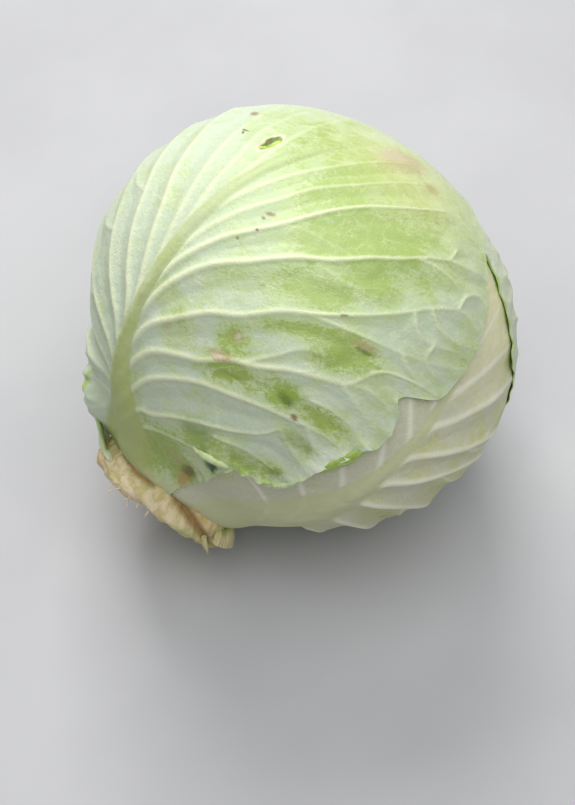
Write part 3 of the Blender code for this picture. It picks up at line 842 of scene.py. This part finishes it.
# Middle, half width, half height, lean in degrees, colour and strength.
FRONT_SPOTS = [
    (-40, 56, 4.2, 1.5, -10, BROWN, 0.8),
    (-24, 45, 1.6, 0.5, 20, DARK, 0.9),
    (-23, 43.5, 1.2, 0.5, -30, DARK, 0.9),
    (23, 25.5, 1.8, 0.9, 30, BROWN, 0.8),
    (22.5, 22.5, 0.9, 0.6, 0, BROWN, 0.8),
    (25, 17.5, 0.6, 0.5, 0, BROWN, 0.8),
    (22, 10.5, 0.6, 0.5, 0, BROWN, 0.7),
    (69, 16.5, 1.6, 0.6, 45, BROWN, 0.7),
    (82, 13, 5.5, 1.3, 20, TAN, 0.8),
    (84, 11.5, 3.5, 0.9, 15, DARK, 0.6),
    (44, -26.5, 4.6, 2.2, 20, TAN, 0.85),
    (43.5, -27, 3.0, 1.0, 20, (0.68, 0.60, 0.42), 0.85),
    (53, -30, 5.5, 0.7, 8, BROWN, 0.35),
    (45.5, -16.5, 2.4, 2.2, 10, TAN, 0.6),
    (45.5, -16, 1.4, 0.9, 60, (0.64, 0.58, 0.44), 0.8),
    (73, -24.5, 3.4, 2.0, -10, DARK, 0.85),
    (79, -28.5, 1.6, 1.1, 0, BROWN, 0.9),
    (72, -22, 6.0, 3.2, 0, FRESH, 0.35),
    # Painted shade in the hollow inside the hooked lip.
    (86, -59, 4.0, 2.8, 0, (0.16, 0.24, 0.04), 0.7),
    (105.5, -34, 1.6, 15, -17, FRESH, 0.8),
    (-58, -101, 27, 7, -34, FRESH, 0.6),
    (20, -31, 2.5, 1.2, 40, TAN, 0.5),
    (35, -94, 5.0, 3.0, -20, TAN, 0.7),
    (38, -108, 3.4, 7.0, -36, (0.46, 0.32, 0.09), 0.9),
    (43, -98, 3.6, 6.5, -32, (0.15, 0.14, 0.015), 1.0),
    # Painted shade: a dark hole under the pale curl, dark green round a near-black middle; the leaf is not
    # opened there.
    (57, -77.5, 3.2, 4.2, -15, (0.12, 0.26, 0.01), 1.0),
    (57.5, -76.5, 2.4, 3.2, -15, (0.03, 0.08, 0.01), 1.0),
    (14, -121, 30, 7, 0, (0.60, 0.62, 0.34), 0.75),
    (-44, -102, 5, 14, -22, (0.34, 0.52, 0.06), 0.9),
    # Painted shade: darker patches on the lower front of the leaf, its shadow side.
    (48, -62, 9, 4, 15, (0.24, 0.32, 0.13), 0.5),
    (86, -38, 8, 3.5, 0, (0.30, 0.38, 0.18), 0.5),
    (99, -38, 4.5, 12, -25, (0.80, 0.86, 0.68), 0.7),
    (90, -58, 7, 3, 40, (0.80, 0.86, 0.68), 0.5),
    (20, 100, 9.0, 15.0, 12, (0.48, 0.36, 0.20), 0.55),
    (16, 96, 5.0, 9.0, 8, (0.62, 0.52, 0.38), 0.55),
    (41, 101, 4.0, 4.5, 0, (0.40, 0.28, 0.14), 0.5),
]
# Middle, half width, half height, lean in degrees, and how much more is rubbed off.
FRONT_PATCHES = [
    (44, -18, 6, 5, 0, 0.36), (50, -29, 13, 6, 20, 0.4), (62, 2, 16, 3, 35, 0.3),
    (80, 5, 12, 7, 30, 0.42), (71, -23, 8, 6, 0, 0.4), (90, -23, 9, 5, -5, 0.38),
    (58, -7, 9, 4, 20, -0.18), (24, -30, 7, 6, 30, 0.26), (15, -22, 8, 7, 0, 0.22),
    (52, 14, 16, 6, 30, 0.34), (34, 60, 28, 26, 0, 0.24), (58, 44, 24, 16, 50, 0.26),
    (70, 36, 8, 6, 20, 0.22), (12, 56, 9, 9, 0, -0.1), (96, 36, 14, 24, 0, -0.16),
    # The rubbed patches at (48, -62) and (86, -38) stand partly for painted shade on the lower front, with
    # the dark spots there.
    (-10, 76, 30, 26, 0, 0.2), (60, -66, 26, 6, 20, 0.18), (48, -62, 10, 6, 15, 0.26),
    (86, -38, 9, 4, 0, 0.26), (87, -60, 8, 6, 0, 0.34), (28, -98, 16, 14, 0, 0.3),
    (32, -86, 12, 9, 0, 0.22), (105, -48, 5, 9, -20, 0.4), (14, -60, 4, 10, 0, 0.25),
]
# Broad tints of painted light and shade; the first darkens the upper right of the leaf, where the light falls
# strongest. The hole in the leaf is shown by its rim, a pit, and painted shade inside it.
FRONT_PAINTED_LIGHT = [
    (40, 48, 44, 44, 20, (0.42, 0.55, 0.215), 0.6),
    (30, 96, 34, 26, 0, (0.62, 0.64, 0.27), 0.6),
]
HOLE_MIDDLE = (-8.5, 48)
PIT_DEPTH = 1.5
# Places along the left margin, and how far it stands off the head there.
FRILL = [
    (-124, 1), (-118, 3.5), (-113, 7.5), (-108, 10.5), (-104, 11), (-100, 10), (-97, 10.5), (-93, 7),
    (-89, 3.6), (-84, 3.4), (-80, 4.6), (-77, 3.8), (-73, 1.4), (-66, 0.3), (-50, 0.0),
]
BLOOM, FLESH, DEEP = (0.57, 0.65, 0.50), (0.52, 0.62, 0.33), (0.33, 0.45, 0.095)
VEIN, STEM = (0.80, 0.84, 0.55), (0.40, 0.46, 0.125)
FRONT_STALK_HEIGHT = 4.6
FRONT_STALK_FOOT = 23

front_sheet = Sheet(13, (-42, 2, 41), FRONT_LEFT, FRONT_RIB, FRONT_RIGHT)


def front_relief(points):
    height, vein, nearest = ridges(points, run_off(FRONT_VEINS, front_sheet.margins[1]))
    stalk_height, rib = stalk(points, front_sheet.margins[1], FRONT_STALK_HEIGHT, FRONT_STALK_FOOT)
    sunk = -0.6 * smooth_step(1.5, 9.0, nearest) * (1 - rib)
    x, y = points.T
    off_hole = np.hypot((x - HOLE_MIDDLE[0]) / 2.8, (y - HOLE_MIDDLE[1]) / 5.4)
    pit = PIT_DEPTH * (1 - smooth_step(0.75, 1.05, off_hole))
    rub = 0.15 * smooth_step(-40, 50, y) * smooth_step(-40, 40, x) + 0.03 * smooth_step(0, 90, x)
    rub = rub + 0.20 * (1 - smooth_step(-84, -52, y)) * smooth_step(4, 20, x)
    # Olive stronger toward the foot: partly the stalk's own tone, partly painted shade on the foot, which
    # faces down.
    rib_olive_and_shade = rib * (0.35 + 0.65 * (1 - smooth_step(-70, 30, y)))
    masks = {"vein": vein * (1 - 0.9 * rib), "rib": rib_olive_and_shade, "rub": rub}
    return stalk_height + height * (1 - 0.8 * rib) + sunk - pit, masks


def front_lift(u, v, points):
    """The frill at the left foot, and the torn right margin that flares and curls."""
    x, y = points[..., 0], points[..., 1]
    frill_y, frill_height = zip(*FRILL)
    crimp = 0.7 * np.sin(y * 1.1 - x * 0.35) * smooth_step(26, 42, -x) * (1 - smooth_step(-84, -74, y))
    left_lift = np.interp(y, frill_y, frill_height) * smooth_step(10, 34, -x) + crimp
    off_right = np.linalg.norm(points - read_curve(front_sheet.margins[2], v), axis=-1)
    torn = smooth_step(-118, -96, y) * (1 - smooth_step(0, 40, y))
    ripple = 0.9 * np.sin(x * 0.75 + y * 0.3) * (1 - smooth_step(-66, -56, y))
    waves = 1.0 + 0.6 * np.sin(y * 0.55) + 0.15 * np.sin(y * 1.3 + 1) + ripple
    right_lift = np.exp(-off_right / 3.5) * (0.5 + torn * waves)
    along = (x - 54) * 0.35 - (y + 58) * 0.94
    across = (x - 54) * 0.94 + (y + 58) * 0.35
    curl = 3.4 * smooth_step(0, 12, along) * (1 - smooth_step(13, 19, along)) * np.exp(-((across / 6.5) ** 2))
    flared = 1.9 * np.exp(-((off_right / 10) ** 2)) * smooth_step(-100, -84, y) * (1 - smooth_step(-22, 6, y))
    return left_lift * (u < 0) + (right_lift + curl + flared) * (u > 0)


front_outside = leaf_finish("front_leaf_outside", BLOOM, FLESH, DEEP, VEIN, STEM, -0.08, FRONT_SPOTS,
                            FRONT_PATCHES, FRONT_PAINTED_LIGHT, (*HOLE_MIDDLE, 2.9, 5.6, 14))
leaf_inside = plain_leaf_finish("leaf_inside", (0.34, 0.56, 0.06), (0.44, 0.64, 0.12), 0.5)
leaf_edge = plain_leaf_finish("leaf_edge", (0.32, 0.50, 0.10), (0.46, 0.58, 0.20), 0.55)
wrap_leaf("front_leaf", front_sheet, (96, 152, 300), 4, [], front_relief, front_lift,
          [front_outside, leaf_inside, leaf_edge])


# ---- Rolled edges of the front leaf ---------------------------------------------------
# Where the front leaf tore, its margin has rolled over: a strip that turns the fresh green
# inner side out, a pale curl like a small horn, and a hooked corner. All are the same leaf.


def roll_finish(name, fresh, pale):
    finish = Finish(name, 0.45, fresh)
    finish.paint(finish.reach(0.35, 0.65, finish.noise(0.3, 5.0, 0.7)), pale)
    finish.paint(finish.reach(0.45, 0.7, finish.streaks(0.15, 0.9)), VEIN, 0.35)
    finish.relief(finish.noise(0.8), 0.3, 0.3)
    return finish.done()


def add_roll(name, line, lifts, wide, thick, material):
    """A rolled margin: an oval rope laid along a line on the front leaf, pointed at its ends.
    lifts are how far it stands off the head along it."""
    around, along = 16, count(70)
    share = np.linspace(0, 1, along)
    _, curve = curve_through(line)
    rays = front_sheet.rays(read_path(curve, share))
    lift = np.interp(share, np.linspace(0, 1, len(lifts)), lifts) * MM
    middle = centre + rays * (leaf_surface_radius(rays) + lift)[:, None]
    forward = unit(np.gradient(middle, axis=0))
    across = np.cross(forward, rays)
    size = np.clip(np.sin(pi * share), 0, 1) ** 0.6
    size = np.maximum(size, 0.04) * (1 + 0.06 * np.sin(share * 17) + 0.04 * np.sin(share * 37 + 1))
    roll_length = 40
    vertices, places = [], []
    for n in range(around):
        turn = 2 * pi * n / around
        ring = wide * cos(turn) * across + thick * sin(turn) * rays
        vertices.append(middle + MM * size[:, None] * ring)
        places.append(np.stack([share * roll_length, np.full(along, n * wide * 0.4), 0 * share], -1))
    vertices, places = np.stack(vertices, 1), np.stack(places, 1)
    ids = np.arange(along * around).reshape(along, around)
    faces = quads(np.column_stack([ids, ids[:, :1]])) + [ids[0][::-1].tolist(), ids[-1].tolist()]
    roll = add_object(name, vertices.reshape(-1, 3), faces, [material], flat=places.reshape(-1, 3))
    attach(roll, "root")


add_roll("front_leaf_rolled_edge", [(108.5, -17), (107, -24), (104.5, -31), (101, -39), (98, -47)],
         (1.2, 2.6, 3.0, 2.8, 2.0), wide=2.4, thick=0.9,
         material=roll_finish("rolled_green_edge", FRESH, (0.36, 0.50, 0.10)))
add_roll("front_leaf_curl", [(46, -74), (50, -72), (54, -70), (59, -69.5), (64, -70), (66, -71.5)],
         (0.4, 2.6, 4.0, 4.0, 3.0, 1.6), wide=1.5, thick=1.1,
         material=roll_finish("pale_curl", (0.52, 0.66, 0.22), (0.66, 0.74, 0.48)))
add_roll("front_leaf_hook", [(79, -69), (84, -67), (89, -63), (93, -57), (96, -51)],
         (1.6, 2.6, 3.0, 2.8, 2.0), wide=1.3, thick=0.8,
         material=roll_finish("hooked_edge", (0.45, 0.58, 0.20), BLOOM))


# ---- Back leaf ------------------------------------------------------------------------
# The leaf that wraps the far side of the head, next under the front leaf: thick and waxy,
# with a plain stalk. Its free margin stands off the head and shows the green inner side.


def grow_veins(sheet, spacing, strong, seed):
    """Veins that leave the stalk on both sides, steeper toward the tip, and fork once."""
    rng = np.random.default_rng(seed)
    _, rib = sheet.margins[1]
    tip = rib[:, 1].max()
    veins = []
    for hand in (-1, 1):
        for start in np.arange(-88, tip * 0.55, spacing):
            y = start + rng.uniform(-2.0, 2.0)
            line = [(float(np.interp(y, rib[:, 1], rib[:, 0])), y)]
            heading = radians(min(18 + 0.56 * (y + 70), 76)) + rng.uniform(-0.05, 0.05)
            line = lead_vein(sheet, line, hand, heading, 20, rng)
            veins.append((line, MAIN, (strong, strong * 0.4)))
            for share in (0.45, 0.7):
                if len(line) > 8:
                    at = int(len(line) * share)
                    fork = lead_vein(sheet, line[at:at + 1], hand, heading + rng.choice([-0.55, 0.5]), 7, rng)
                    veins.append((fork, FORK, (strong * 0.5, strong * 0.25)))
    return [vein for vein in veins if len(vein[0]) > 2]


def lead_vein(sheet, line, hand, heading, most, rng):
    """Leads a vein on from its last point by even steps, until it nears the margin."""
    line = list(line)
    step, clear = 8.0, 4
    for _ in range(most):
        heading += rng.uniform(-0.12, 0.14)
        x = line[-1][0] + hand * cos(heading) * step
        y = line[-1][1] + sin(heading) * step
        if sheet.from_edge((x, y)) > -clear:
            break
        line.append((x, y))
    return line


def plain_relief(sheet, veins, high, wide_foot, puff, wear):
    """The raised stalk, veins and puffed flesh of a leaf, and the masks for its finish."""
    def relief(points):
        height, vein, nearest = ridges(points, run_off(veins, sheet.margins[1]))
        stalk_height, rib = stalk(points, sheet.margins[1], high, wide_foot)
        swell = puff * smooth_step(0.5, 7.0, nearest) * (1 - rib)
        # Olive stronger toward the foot: partly the stalk's own tone, partly painted shade.
        rib_olive_and_shade = rib * (0.4 + 0.6 * (1 - smooth_step(-70, 30, points[:, 1])))
        masks = {"vein": vein * (1 - 0.8 * rib), "rib": rib_olive_and_shade, "rub": np.full(len(points), wear)}
        return stalk_height + height * (1 - 0.7 * rib) + swell, masks
    return relief


BACK_LEFT = [
    (-48, -110), (-78, -86), (-102, -58), (-120, -25), (-130, 10), (-136, 40), (-139, 63), (-142, 76),
    (-139, 84), (-135, 89), (-128, 100), (-119, 112), (-109, 124), (-95, 134), (-80, 145), (-60, 152),
    (-38, 156),
]
BACK_RIB = [
    (0, -110), (1, -90), (3, -60), (4, -20), (4, 20), (4, 70), (4, 120), (0, 153),
]
BACK_RIGHT = [
    (46, -114), (62, -100), (84, -82), (102, -56), (114, -24), (120, 8), (119, 40), (110, 70), (92, 98),
    (64, 122), (42, 136), (22, 147),
]
back_sheet = Sheet(155, (-42, 0, 42), BACK_LEFT, BACK_RIB, BACK_RIGHT)
back_veins = grow_veins(back_sheet, 13.0, 1.3, 5)


def back_lift(u, v, points):
    """The left margin stands off the head near the tip, and is a little wavy all along."""
    off_edge = np.linalg.norm(points - read_curve(back_sheet.margins[0], v), axis=-1)
    y = points[..., 1]
    free = smooth_step(50, 90, y) * (1 - smooth_step(128, 146, y))
    rolled = 0.4 + 0.8 * (1 - smooth_step(70, 105, y)) + 0.15 * np.sin(y * 0.3)
    rolled = rolled * np.exp(-((off_edge / 3.0) ** 1.4))
    return (rolled * free + 0.3 * np.exp(-off_edge / 4) * np.sin(y * 0.5)) * (u < 0)


back_outside = leaf_finish("back_leaf_outside", (0.64, 0.70, 0.52), FLESH, DEEP, VEIN, STEM, -0.16)
back_relief = plain_relief(back_sheet, back_veins, high=3.2, wide_foot=20, puff=-0.5, wear=0.03)
wrap_leaf("back_leaf", back_sheet, (104, 80, 240), 4, [front_sheet], back_relief, back_lift,
          [back_outside, leaf_inside, leaf_edge])


# ---- Lower leaf -----------------------------------------------------------------------
# The pale leaf that shows below the front leaf, long shaded by an older one: it has a
# very broad flat stalk, and strong white veins with the flesh sunk between them.

LOWER_LEFT = [
    (-52, -108), (-78, -86), (-100, -56), (-112, -22), (-117, 14), (-112, 46), (-97, 78), (-70, 104),
    (-28, 122),
]
LOWER_RIB = [
    (2, -112), (0, -92), (-3, -70), (-4, -45), (-4, -15), (-1, 30), (2, 70), (4, 122),
]
LOWER_RIGHT = [
    (50, -110), (80, -84), (102, -52), (114, -18), (118, 16), (113, 48), (97, 78), (71, 104), (30, 122),
]
lower_sheet = Sheet(-70, (-52, 0, 50), LOWER_LEFT, LOWER_RIB, LOWER_RIGHT)
STRONG = (3.0, 1.6)
STRONG_HIGH = (1.7, 0.9)
LOWER_VEINS = vein_group(STRONG, STRONG_HIGH, [
    [(-1, 10), (4, 16), (10, 22), (24, 34), (38, 44), (54, 58), (66, 74)],
    [(-2, -4), (8, 4), (22, 15), (40, 26), (60, 36), (80, 50), (96, 60)],
    [(-1, -18), (10, -10), (24, -3), (42, 6), (62, 12), (84, 20), (104, 26)],
    [(0, -32), (10, -25), (22, -17), (38, -9), (54, -4), (76, 0), (102, 2)],
    [(0, -46), (12, -41), (26, -37), (42, -35), (62, -34), (84, -32), (102, -28)],
    [(2, -62), (14, -60), (30, -60), (48, -60), (68, -60), (88, -60)],
]) + vein_group(MAIN, MAIN_HIGH, [
    [(-1, 24), (5, 34), (14, 46), (24, 58), (34, 76)],
    [(0, 42), (6, 56), (12, 72), (18, 92)],
    [(6, -78), (20, -80), (40, -82), (60, -82), (74, -80)],
    [(-4, 0), (-10, 12), (-18, 24), (-28, 38), (-40, 54)],
    [(-5, -14), (-14, -2), (-24, 10), (-36, 24), (-52, 42)],
    [(-6, -30), (-14, -18), (-26, -6), (-40, 8), (-58, 22)],
    [(-8, -46), (-18, -36), (-30, -26), (-46, -14), (-66, -2)],
    [(-10, -62), (-22, -54), (-36, -46), (-54, -38), (-74, -28)],
    [(-14, -78), (-28, -72), (-44, -68), (-64, -62)],
    [(-3, 18), (-8, 34), (-14, 52), (-22, 72)],
    [(-1, 38), (-4, 56), (-8, 76), (-10, 96)],
]) + vein_group(FORK, FORK_HIGH, [
    [(42, -9), (54, 0), (70, 6)],
    [(16, -7), (30, 0), (46, 14), (62, 24), (84, 36)],
    [(24, -3), (40, -2), (60, 6), (84, 12)],
    [(22, -17), (38, -18), (58, -14), (84, -10)],
    [(30, -60), (46, -66), (66, -68), (84, -66)],
    [(10, 22), (20, 38), (34, 54), (48, 74)],
    [(40, 26), (50, 38), (66, 48)],
    [(26, -37), (40, -45), (58, -48), (76, -46)],
])
LOWER_SPOTS = [
    (7, 52, 1.3, 2.2, 10, BROWN, 0.9),
    (3, 56, 4.0, 9.0, 10, (0.66, 0.52, 0.34), 0.45),
]
LOWER_PATCHES = [
    (60, 10, 22, 12, 20, 0.22), (44, -20, 14, 7, 10, 0.24), (52, 44, 20, 8, 30, 0.24),
    (30, -50, 16, 5, 0, 0.2), (74, -44, 14, 6, 0, 0.25),
]
# Painted light: a broad pale tint that lightens the leaf toward its tip, where it lies in shade.
LOWER_PAINTED_LIGHT = [(14, 52, 26, 28, 0, (0.88, 0.84, 0.50), 0.7)]
PALE, PALE_FLESH, PALE_GREEN = (0.62, 0.62, 0.46), (0.56, 0.58, 0.26), (0.42, 0.48, 0.13)
PALE_VEIN, PALE_STEM = (0.86, 0.85, 0.68), (0.57, 0.60, 0.32)
LOWER_STALK_HEIGHT = 3.0


def lower_relief(points):
    height, vein, nearest = ridges(points, run_off(LOWER_VEINS, lower_sheet.margins[1]))
    x, y = points.T
    _, line = lower_sheet.margins[1]
    middle = np.interp(y, line[:, 1], line[:, 0])
    spread_out = 1 - smooth_step(-104, -8, y)
    half = 3.2 + 22 * spread_out**1.25
    crest = np.clip(1 - ((x - middle) / half) ** 2, 0, 1)
    rib = smooth_step(0, 0.5, crest) * (1 - smooth_step(20, 66, y))
    foot = smooth_step(-122, -104, y)
    tall = LOWER_STALK_HEIGHT * (1 - 0.62 * smooth_step(-70, 0, y))
    stalk_height = foot * crest**1.2 * tall * (1 - smooth_step(10, 66, y))
    sunk = -0.9 * smooth_step(1.0, 8.0, nearest) * (1 - rib)
    rub = 0.14 * smooth_step(6, 40, x) + 0.06 * np.sin(x * 0.11 + 0.6)
    masks = {"vein": vein * (1 - 0.9 * rib), "rib": rib, "rub": rub}
    return stalk_height + 1.3 * height * (1 - 0.85 * rib) + sunk, masks


def lower_lift(u, v, points):
    x, y = points[..., 0], points[..., 1]
    pleat = np.sin(0.30 * (y - 0.55 * np.abs(x)) + 0.8)
    return 0.4 * pleat * smooth_step(12, 45, x) * (1 - smooth_step(70, 105, x))


lower_outside = leaf_finish("lower_leaf_outside", PALE, PALE_FLESH, PALE_GREEN, PALE_VEIN, PALE_STEM, -0.09,
                            LOWER_SPOTS, LOWER_PATCHES, LOWER_PAINTED_LIGHT)
wrap_leaf("lower_leaf", lower_sheet, (108, 128, 280), 4, [front_sheet, back_sheet], lower_relief, lower_lift,
          [lower_outside, leaf_inside, leaf_edge])


# ---- Upper leaf and rear leaf ---------------------------------------------------------
# The next two leaves in, folded tight under the outer three and seen only in the joints
# between them: one on the left of the head, and one low at its back.

INNER_HALF = [(80, -84), (102, -52), (114, -18), (118, 16), (113, 48), (97, 78), (71, 104), (28, 123)]
INNER_RIB = [(0, -110), (2, -74), (3, -30), (4, 16), (4, 72), (4, 123)]


def no_lift(u, v, points):
    return np.zeros(points.shape[:-1])


inner_sheets = []
for name, turn, slot, green, seed in [
    ("upper_leaf", 70, "green_leaf", (0.34, 0.50, 0.13), 11),
    ("rear_leaf", -152, "pale_leaf", (0.44, 0.52, 0.22), 12),
]:
    left_margin = [(-50, -110)] + [(-x, y) for x, y in INNER_HALF]
    right_margin = [(50, -110)] + INNER_HALF
    sheet = Sheet(turn, (-40, 0, 40), left_margin, INNER_RIB, right_margin)
    veins = grow_veins(sheet, 15.0, 1.2, seed)
    relief = plain_relief(sheet, veins, high=3.0, wide_foot=18, puff=-0.4, wear=0.0)
    outside = leaf_finish(name + "_outside", (0.62, 0.68, 0.48), FLESH, green, VEIN, STEM, -0.12)
    wrap_leaf(name, sheet, (64, 64, 150), 2, [front_sheet, back_sheet, lower_sheet] + inner_sheets, relief,
              no_lift, [outside, leaf_inside, leaf_edge], crowding=1.0)
    inner_sheets.append(sheet)


# ---- Tight heart ----------------------------------------------------------------------
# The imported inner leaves, white to yellow, grown so tight that they form one firm ball.
# It stands on the end of the stem, inside the five loose leaves.


def heart_finish():
    finish = Finish("heart_leaves", 0.5, (0.70, 0.72, 0.42))
    finish.paint(finish.reach(0.35, 0.65, finish.noise(0.05, 5.0, 0.6)), (0.60, 0.66, 0.30))
    finish.paint(finish.reach(0.5, 0.72, finish.streaks(0.5, 0.05)), (0.78, 0.78, 0.58), 0.5)
    finish.relief(finish.noise(0.3, 5.0), 0.4, 0.6)
    return finish.done()


HEART_SEAT = 80.0
HEART_GAP = 0.5
HEART_END = radians(160)
all_sheets = [front_sheet, back_sheet, lower_sheet] + inner_sheets
around, along = count(160), count(90)
turn_grid, row_grid = np.meshgrid(np.linspace(-180, 180, around + 1)[:-1], np.linspace(0, 1, along + 1))
heart_rays = direction(row_grid * HEART_END, np.radians(turn_grid))
heart_depth = sum(LAYER * sheet.cover(heart_rays) for sheet in all_sheets) * MM
heart_radius = leaf_surface_radius(heart_rays) - NECK_FLARE - heart_depth - pressed_in(heart_rays)
heart_radius = heart_radius - HEART_GAP * MM
stemward = -(heart_rays @ crown)
seat_radius = np.where(stemward > 0, HEART_SEAT * MM / np.maximum(stemward, 0.01), 1.0)
heart_radius = np.minimum(heart_radius, seat_radius)
heart_points = centre + heart_rays * heart_radius[..., None]
faces, used = turned_faces(turn_grid.shape, False)
faces = [face[::-1] for face in faces]
faces.append(list(range(len(used) - around, len(used))))
heart_flat = np.stack([turn_grid * 0.9, row_grid * 200, 0 * turn_grid], -1)
heart = add_object("tight_heart", heart_points.reshape(-1, 3)[used], faces, [heart_finish()],
                   flat=heart_flat.reshape(-1, 3)[used])
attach(heart, "root")
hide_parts("tight_heart")


# ---- Leaf stubs -----------------------------------------------------------------------
# The torn feet of two older leaves that were pulled off: short thick tongues of pale
# green skin that stand on the side of the stump and lean out, ragged where they tore.

STUB_THICKNESS = 3.2
STUB_GAP = 0.9
STUB_DEGREE = 0.57


def stub_finish(name, pale, green):
    finish = Finish(name, 0.5, pale)
    finish.paint(finish.reach(0.35, 0.65, finish.noise(0.18)), green)
    streaks = finish.streaks(1.1, 0.12)
    finish.paint(finish.reach(0.5, 0.7, streaks), (0.74, 0.76, 0.56), 0.5)
    finish.paint(finish.mark("torn"), (0.33, 0.46, 0.08), 0.7)
    finish.relief(streaks, 0.5, 0.5)
    return finish.done()


def add_stub(name, turn, half_angle, root, length, lift, material):
    """A tongue that stands on the collar, centred on a turn round the stem, from its root's
    depth up to its torn end, which leans out by the lift."""
    columns, rows = count(56), count(30)
    share, up = np.meshgrid(np.linspace(-1, 1, columns + 1), np.linspace(0, 1, rows + 1))
    ragged = 1 - 0.5 * share**2 + 0.2 * np.cos(5.2 * share + 1) + 0.10 * np.sin(17 * share) * up
    depth = root - length * ragged * up
    turns = turn + half_angle * share
    waves = 0.5 * np.sin(9 * share + 2 * up) * up
    inner = COLLAR_RADIUS + STUB_GAP + lift * ragged * up**1.2 + waves
    thick = STUB_THICKNESS * (1 - 0.55 * up) * (1 - 0.5 * share**4) + 0.15 * np.sin(31 * share + 4 * up)
    low, high = round_stem(turns, depth, inner), round_stem(turns, depth, inner + thick)
    ids = np.arange(share.size).reshape(share.shape)
    upper = ids + share.size
    faces = [face[::-1] for face in quads(ids)] + quads(upper)
    for inside, outside in zip(border(ids), border(upper)):
        faces += quads(np.array([inside, outside]))
    flat = np.stack([turns * STUB_DEGREE, depth, 0 * depth], -1).reshape(-1, 3)
    torn = smooth_step(0.7, 1.0, up).ravel()
    stub = add_object(name, np.vstack([low.reshape(-1, 3), high.reshape(-1, 3)]), faces, [material],
                      flat=np.vstack([flat, flat]), masks={"torn": np.concatenate([torn, torn])})
    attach(stub, "root")
    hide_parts(name)


add_stub("left_leaf_stub", turn=50, half_angle=25, root=93.5, length=8.0, lift=9.0,
         material=stub_finish("torn_leaf_foot", (0.68, 0.76, 0.50), (0.54, 0.66, 0.30)))
add_stub("lower_leaf_stub", turn=-97, half_angle=17, root=95.0, length=7.0, lift=-2.6,
         material=stub_finish("dried_leaf_foot", (0.68, 0.58, 0.34), (0.58, 0.50, 0.24)))


# ---- Camera, floor and light ----------------------------------------------------------
# The head is seen from a little over arm's length, looking steeply down. A soft light
# stands behind it and to the left, so its shadow falls toward the viewer.

LOOK_DOWN = radians(55)
CAMERA_DISTANCE = 0.66
AIM_BELOW = radians(3.065)
AIM_LEFT = radians(0.549)
LENS = 70.5

sight = Vector((0, cos(LOOK_DOWN), -sin(LOOK_DOWN)))
camera = bpy.data.objects.new("camera", bpy.data.cameras.new("camera"))
camera.data.lens = LENS
camera.location = Vector(centre) - sight * CAMERA_DISTANCE
tilt = Matrix.Rotation(pi / 2 - LOOK_DOWN - AIM_BELOW, 3, "X")
look_up = tilt @ Vector((0, 1, 0))
pan = Matrix.Rotation(AIM_LEFT, 3, look_up)
camera.rotation_euler = (pan @ tilt).to_euler()
bpy.context.collection.objects.link(camera)
bpy.context.scene.camera = camera
bpy.context.scene.view_settings.view_transform = "Standard"

FLOOR_REACH = 20.0
floor_finish = Finish("pale_floor", 0.75, (0.44, 0.44, 0.455))
floor_finish.paint(floor_finish.reach(0.35, 0.65, floor_finish.noise(0.006)), (0.48, 0.48, 0.49))
corners = FLOOR_REACH * np.array([(-1, -1, 0), (1, -1, 0), (1, 1, 0), (-1, 1, 0)])
floor = add_object("floor", corners, [(0, 1, 2, 3)], [floor_finish.done()], flat=corners / MM)


def add_lamp(name, place, width, power, colour):
    """A square lamp that looks at the head."""
    lamp = bpy.data.lights.new(name, "AREA")
    lamp.size = width
    lamp.energy = power
    lamp.color = colour
    obj = bpy.data.objects.new(name, lamp)
    obj.location = place
    obj.rotation_euler = (Vector(centre) - Vector(place)).to_track_quat("-Z", "Y").to_euler()
    bpy.context.collection.objects.link(obj)


add_lamp("window_light", (-0.25, 1.15, 1.3), width=0.9, power=25, colour=(1.0, 0.99, 0.97))
add_lamp("ceiling_bounce", (0.15, -0.3, 1.9), width=1.7, power=26, colour=(0.99, 0.99, 1.0))
world = bpy.data.worlds.new("room_light")
world.use_nodes = True
background = world.node_tree.nodes["Background"].inputs
background["Color"].default_value = (0.93, 0.96, 1.0, 1)
background["Strength"].default_value = 0.28
bpy.context.scene.world = world
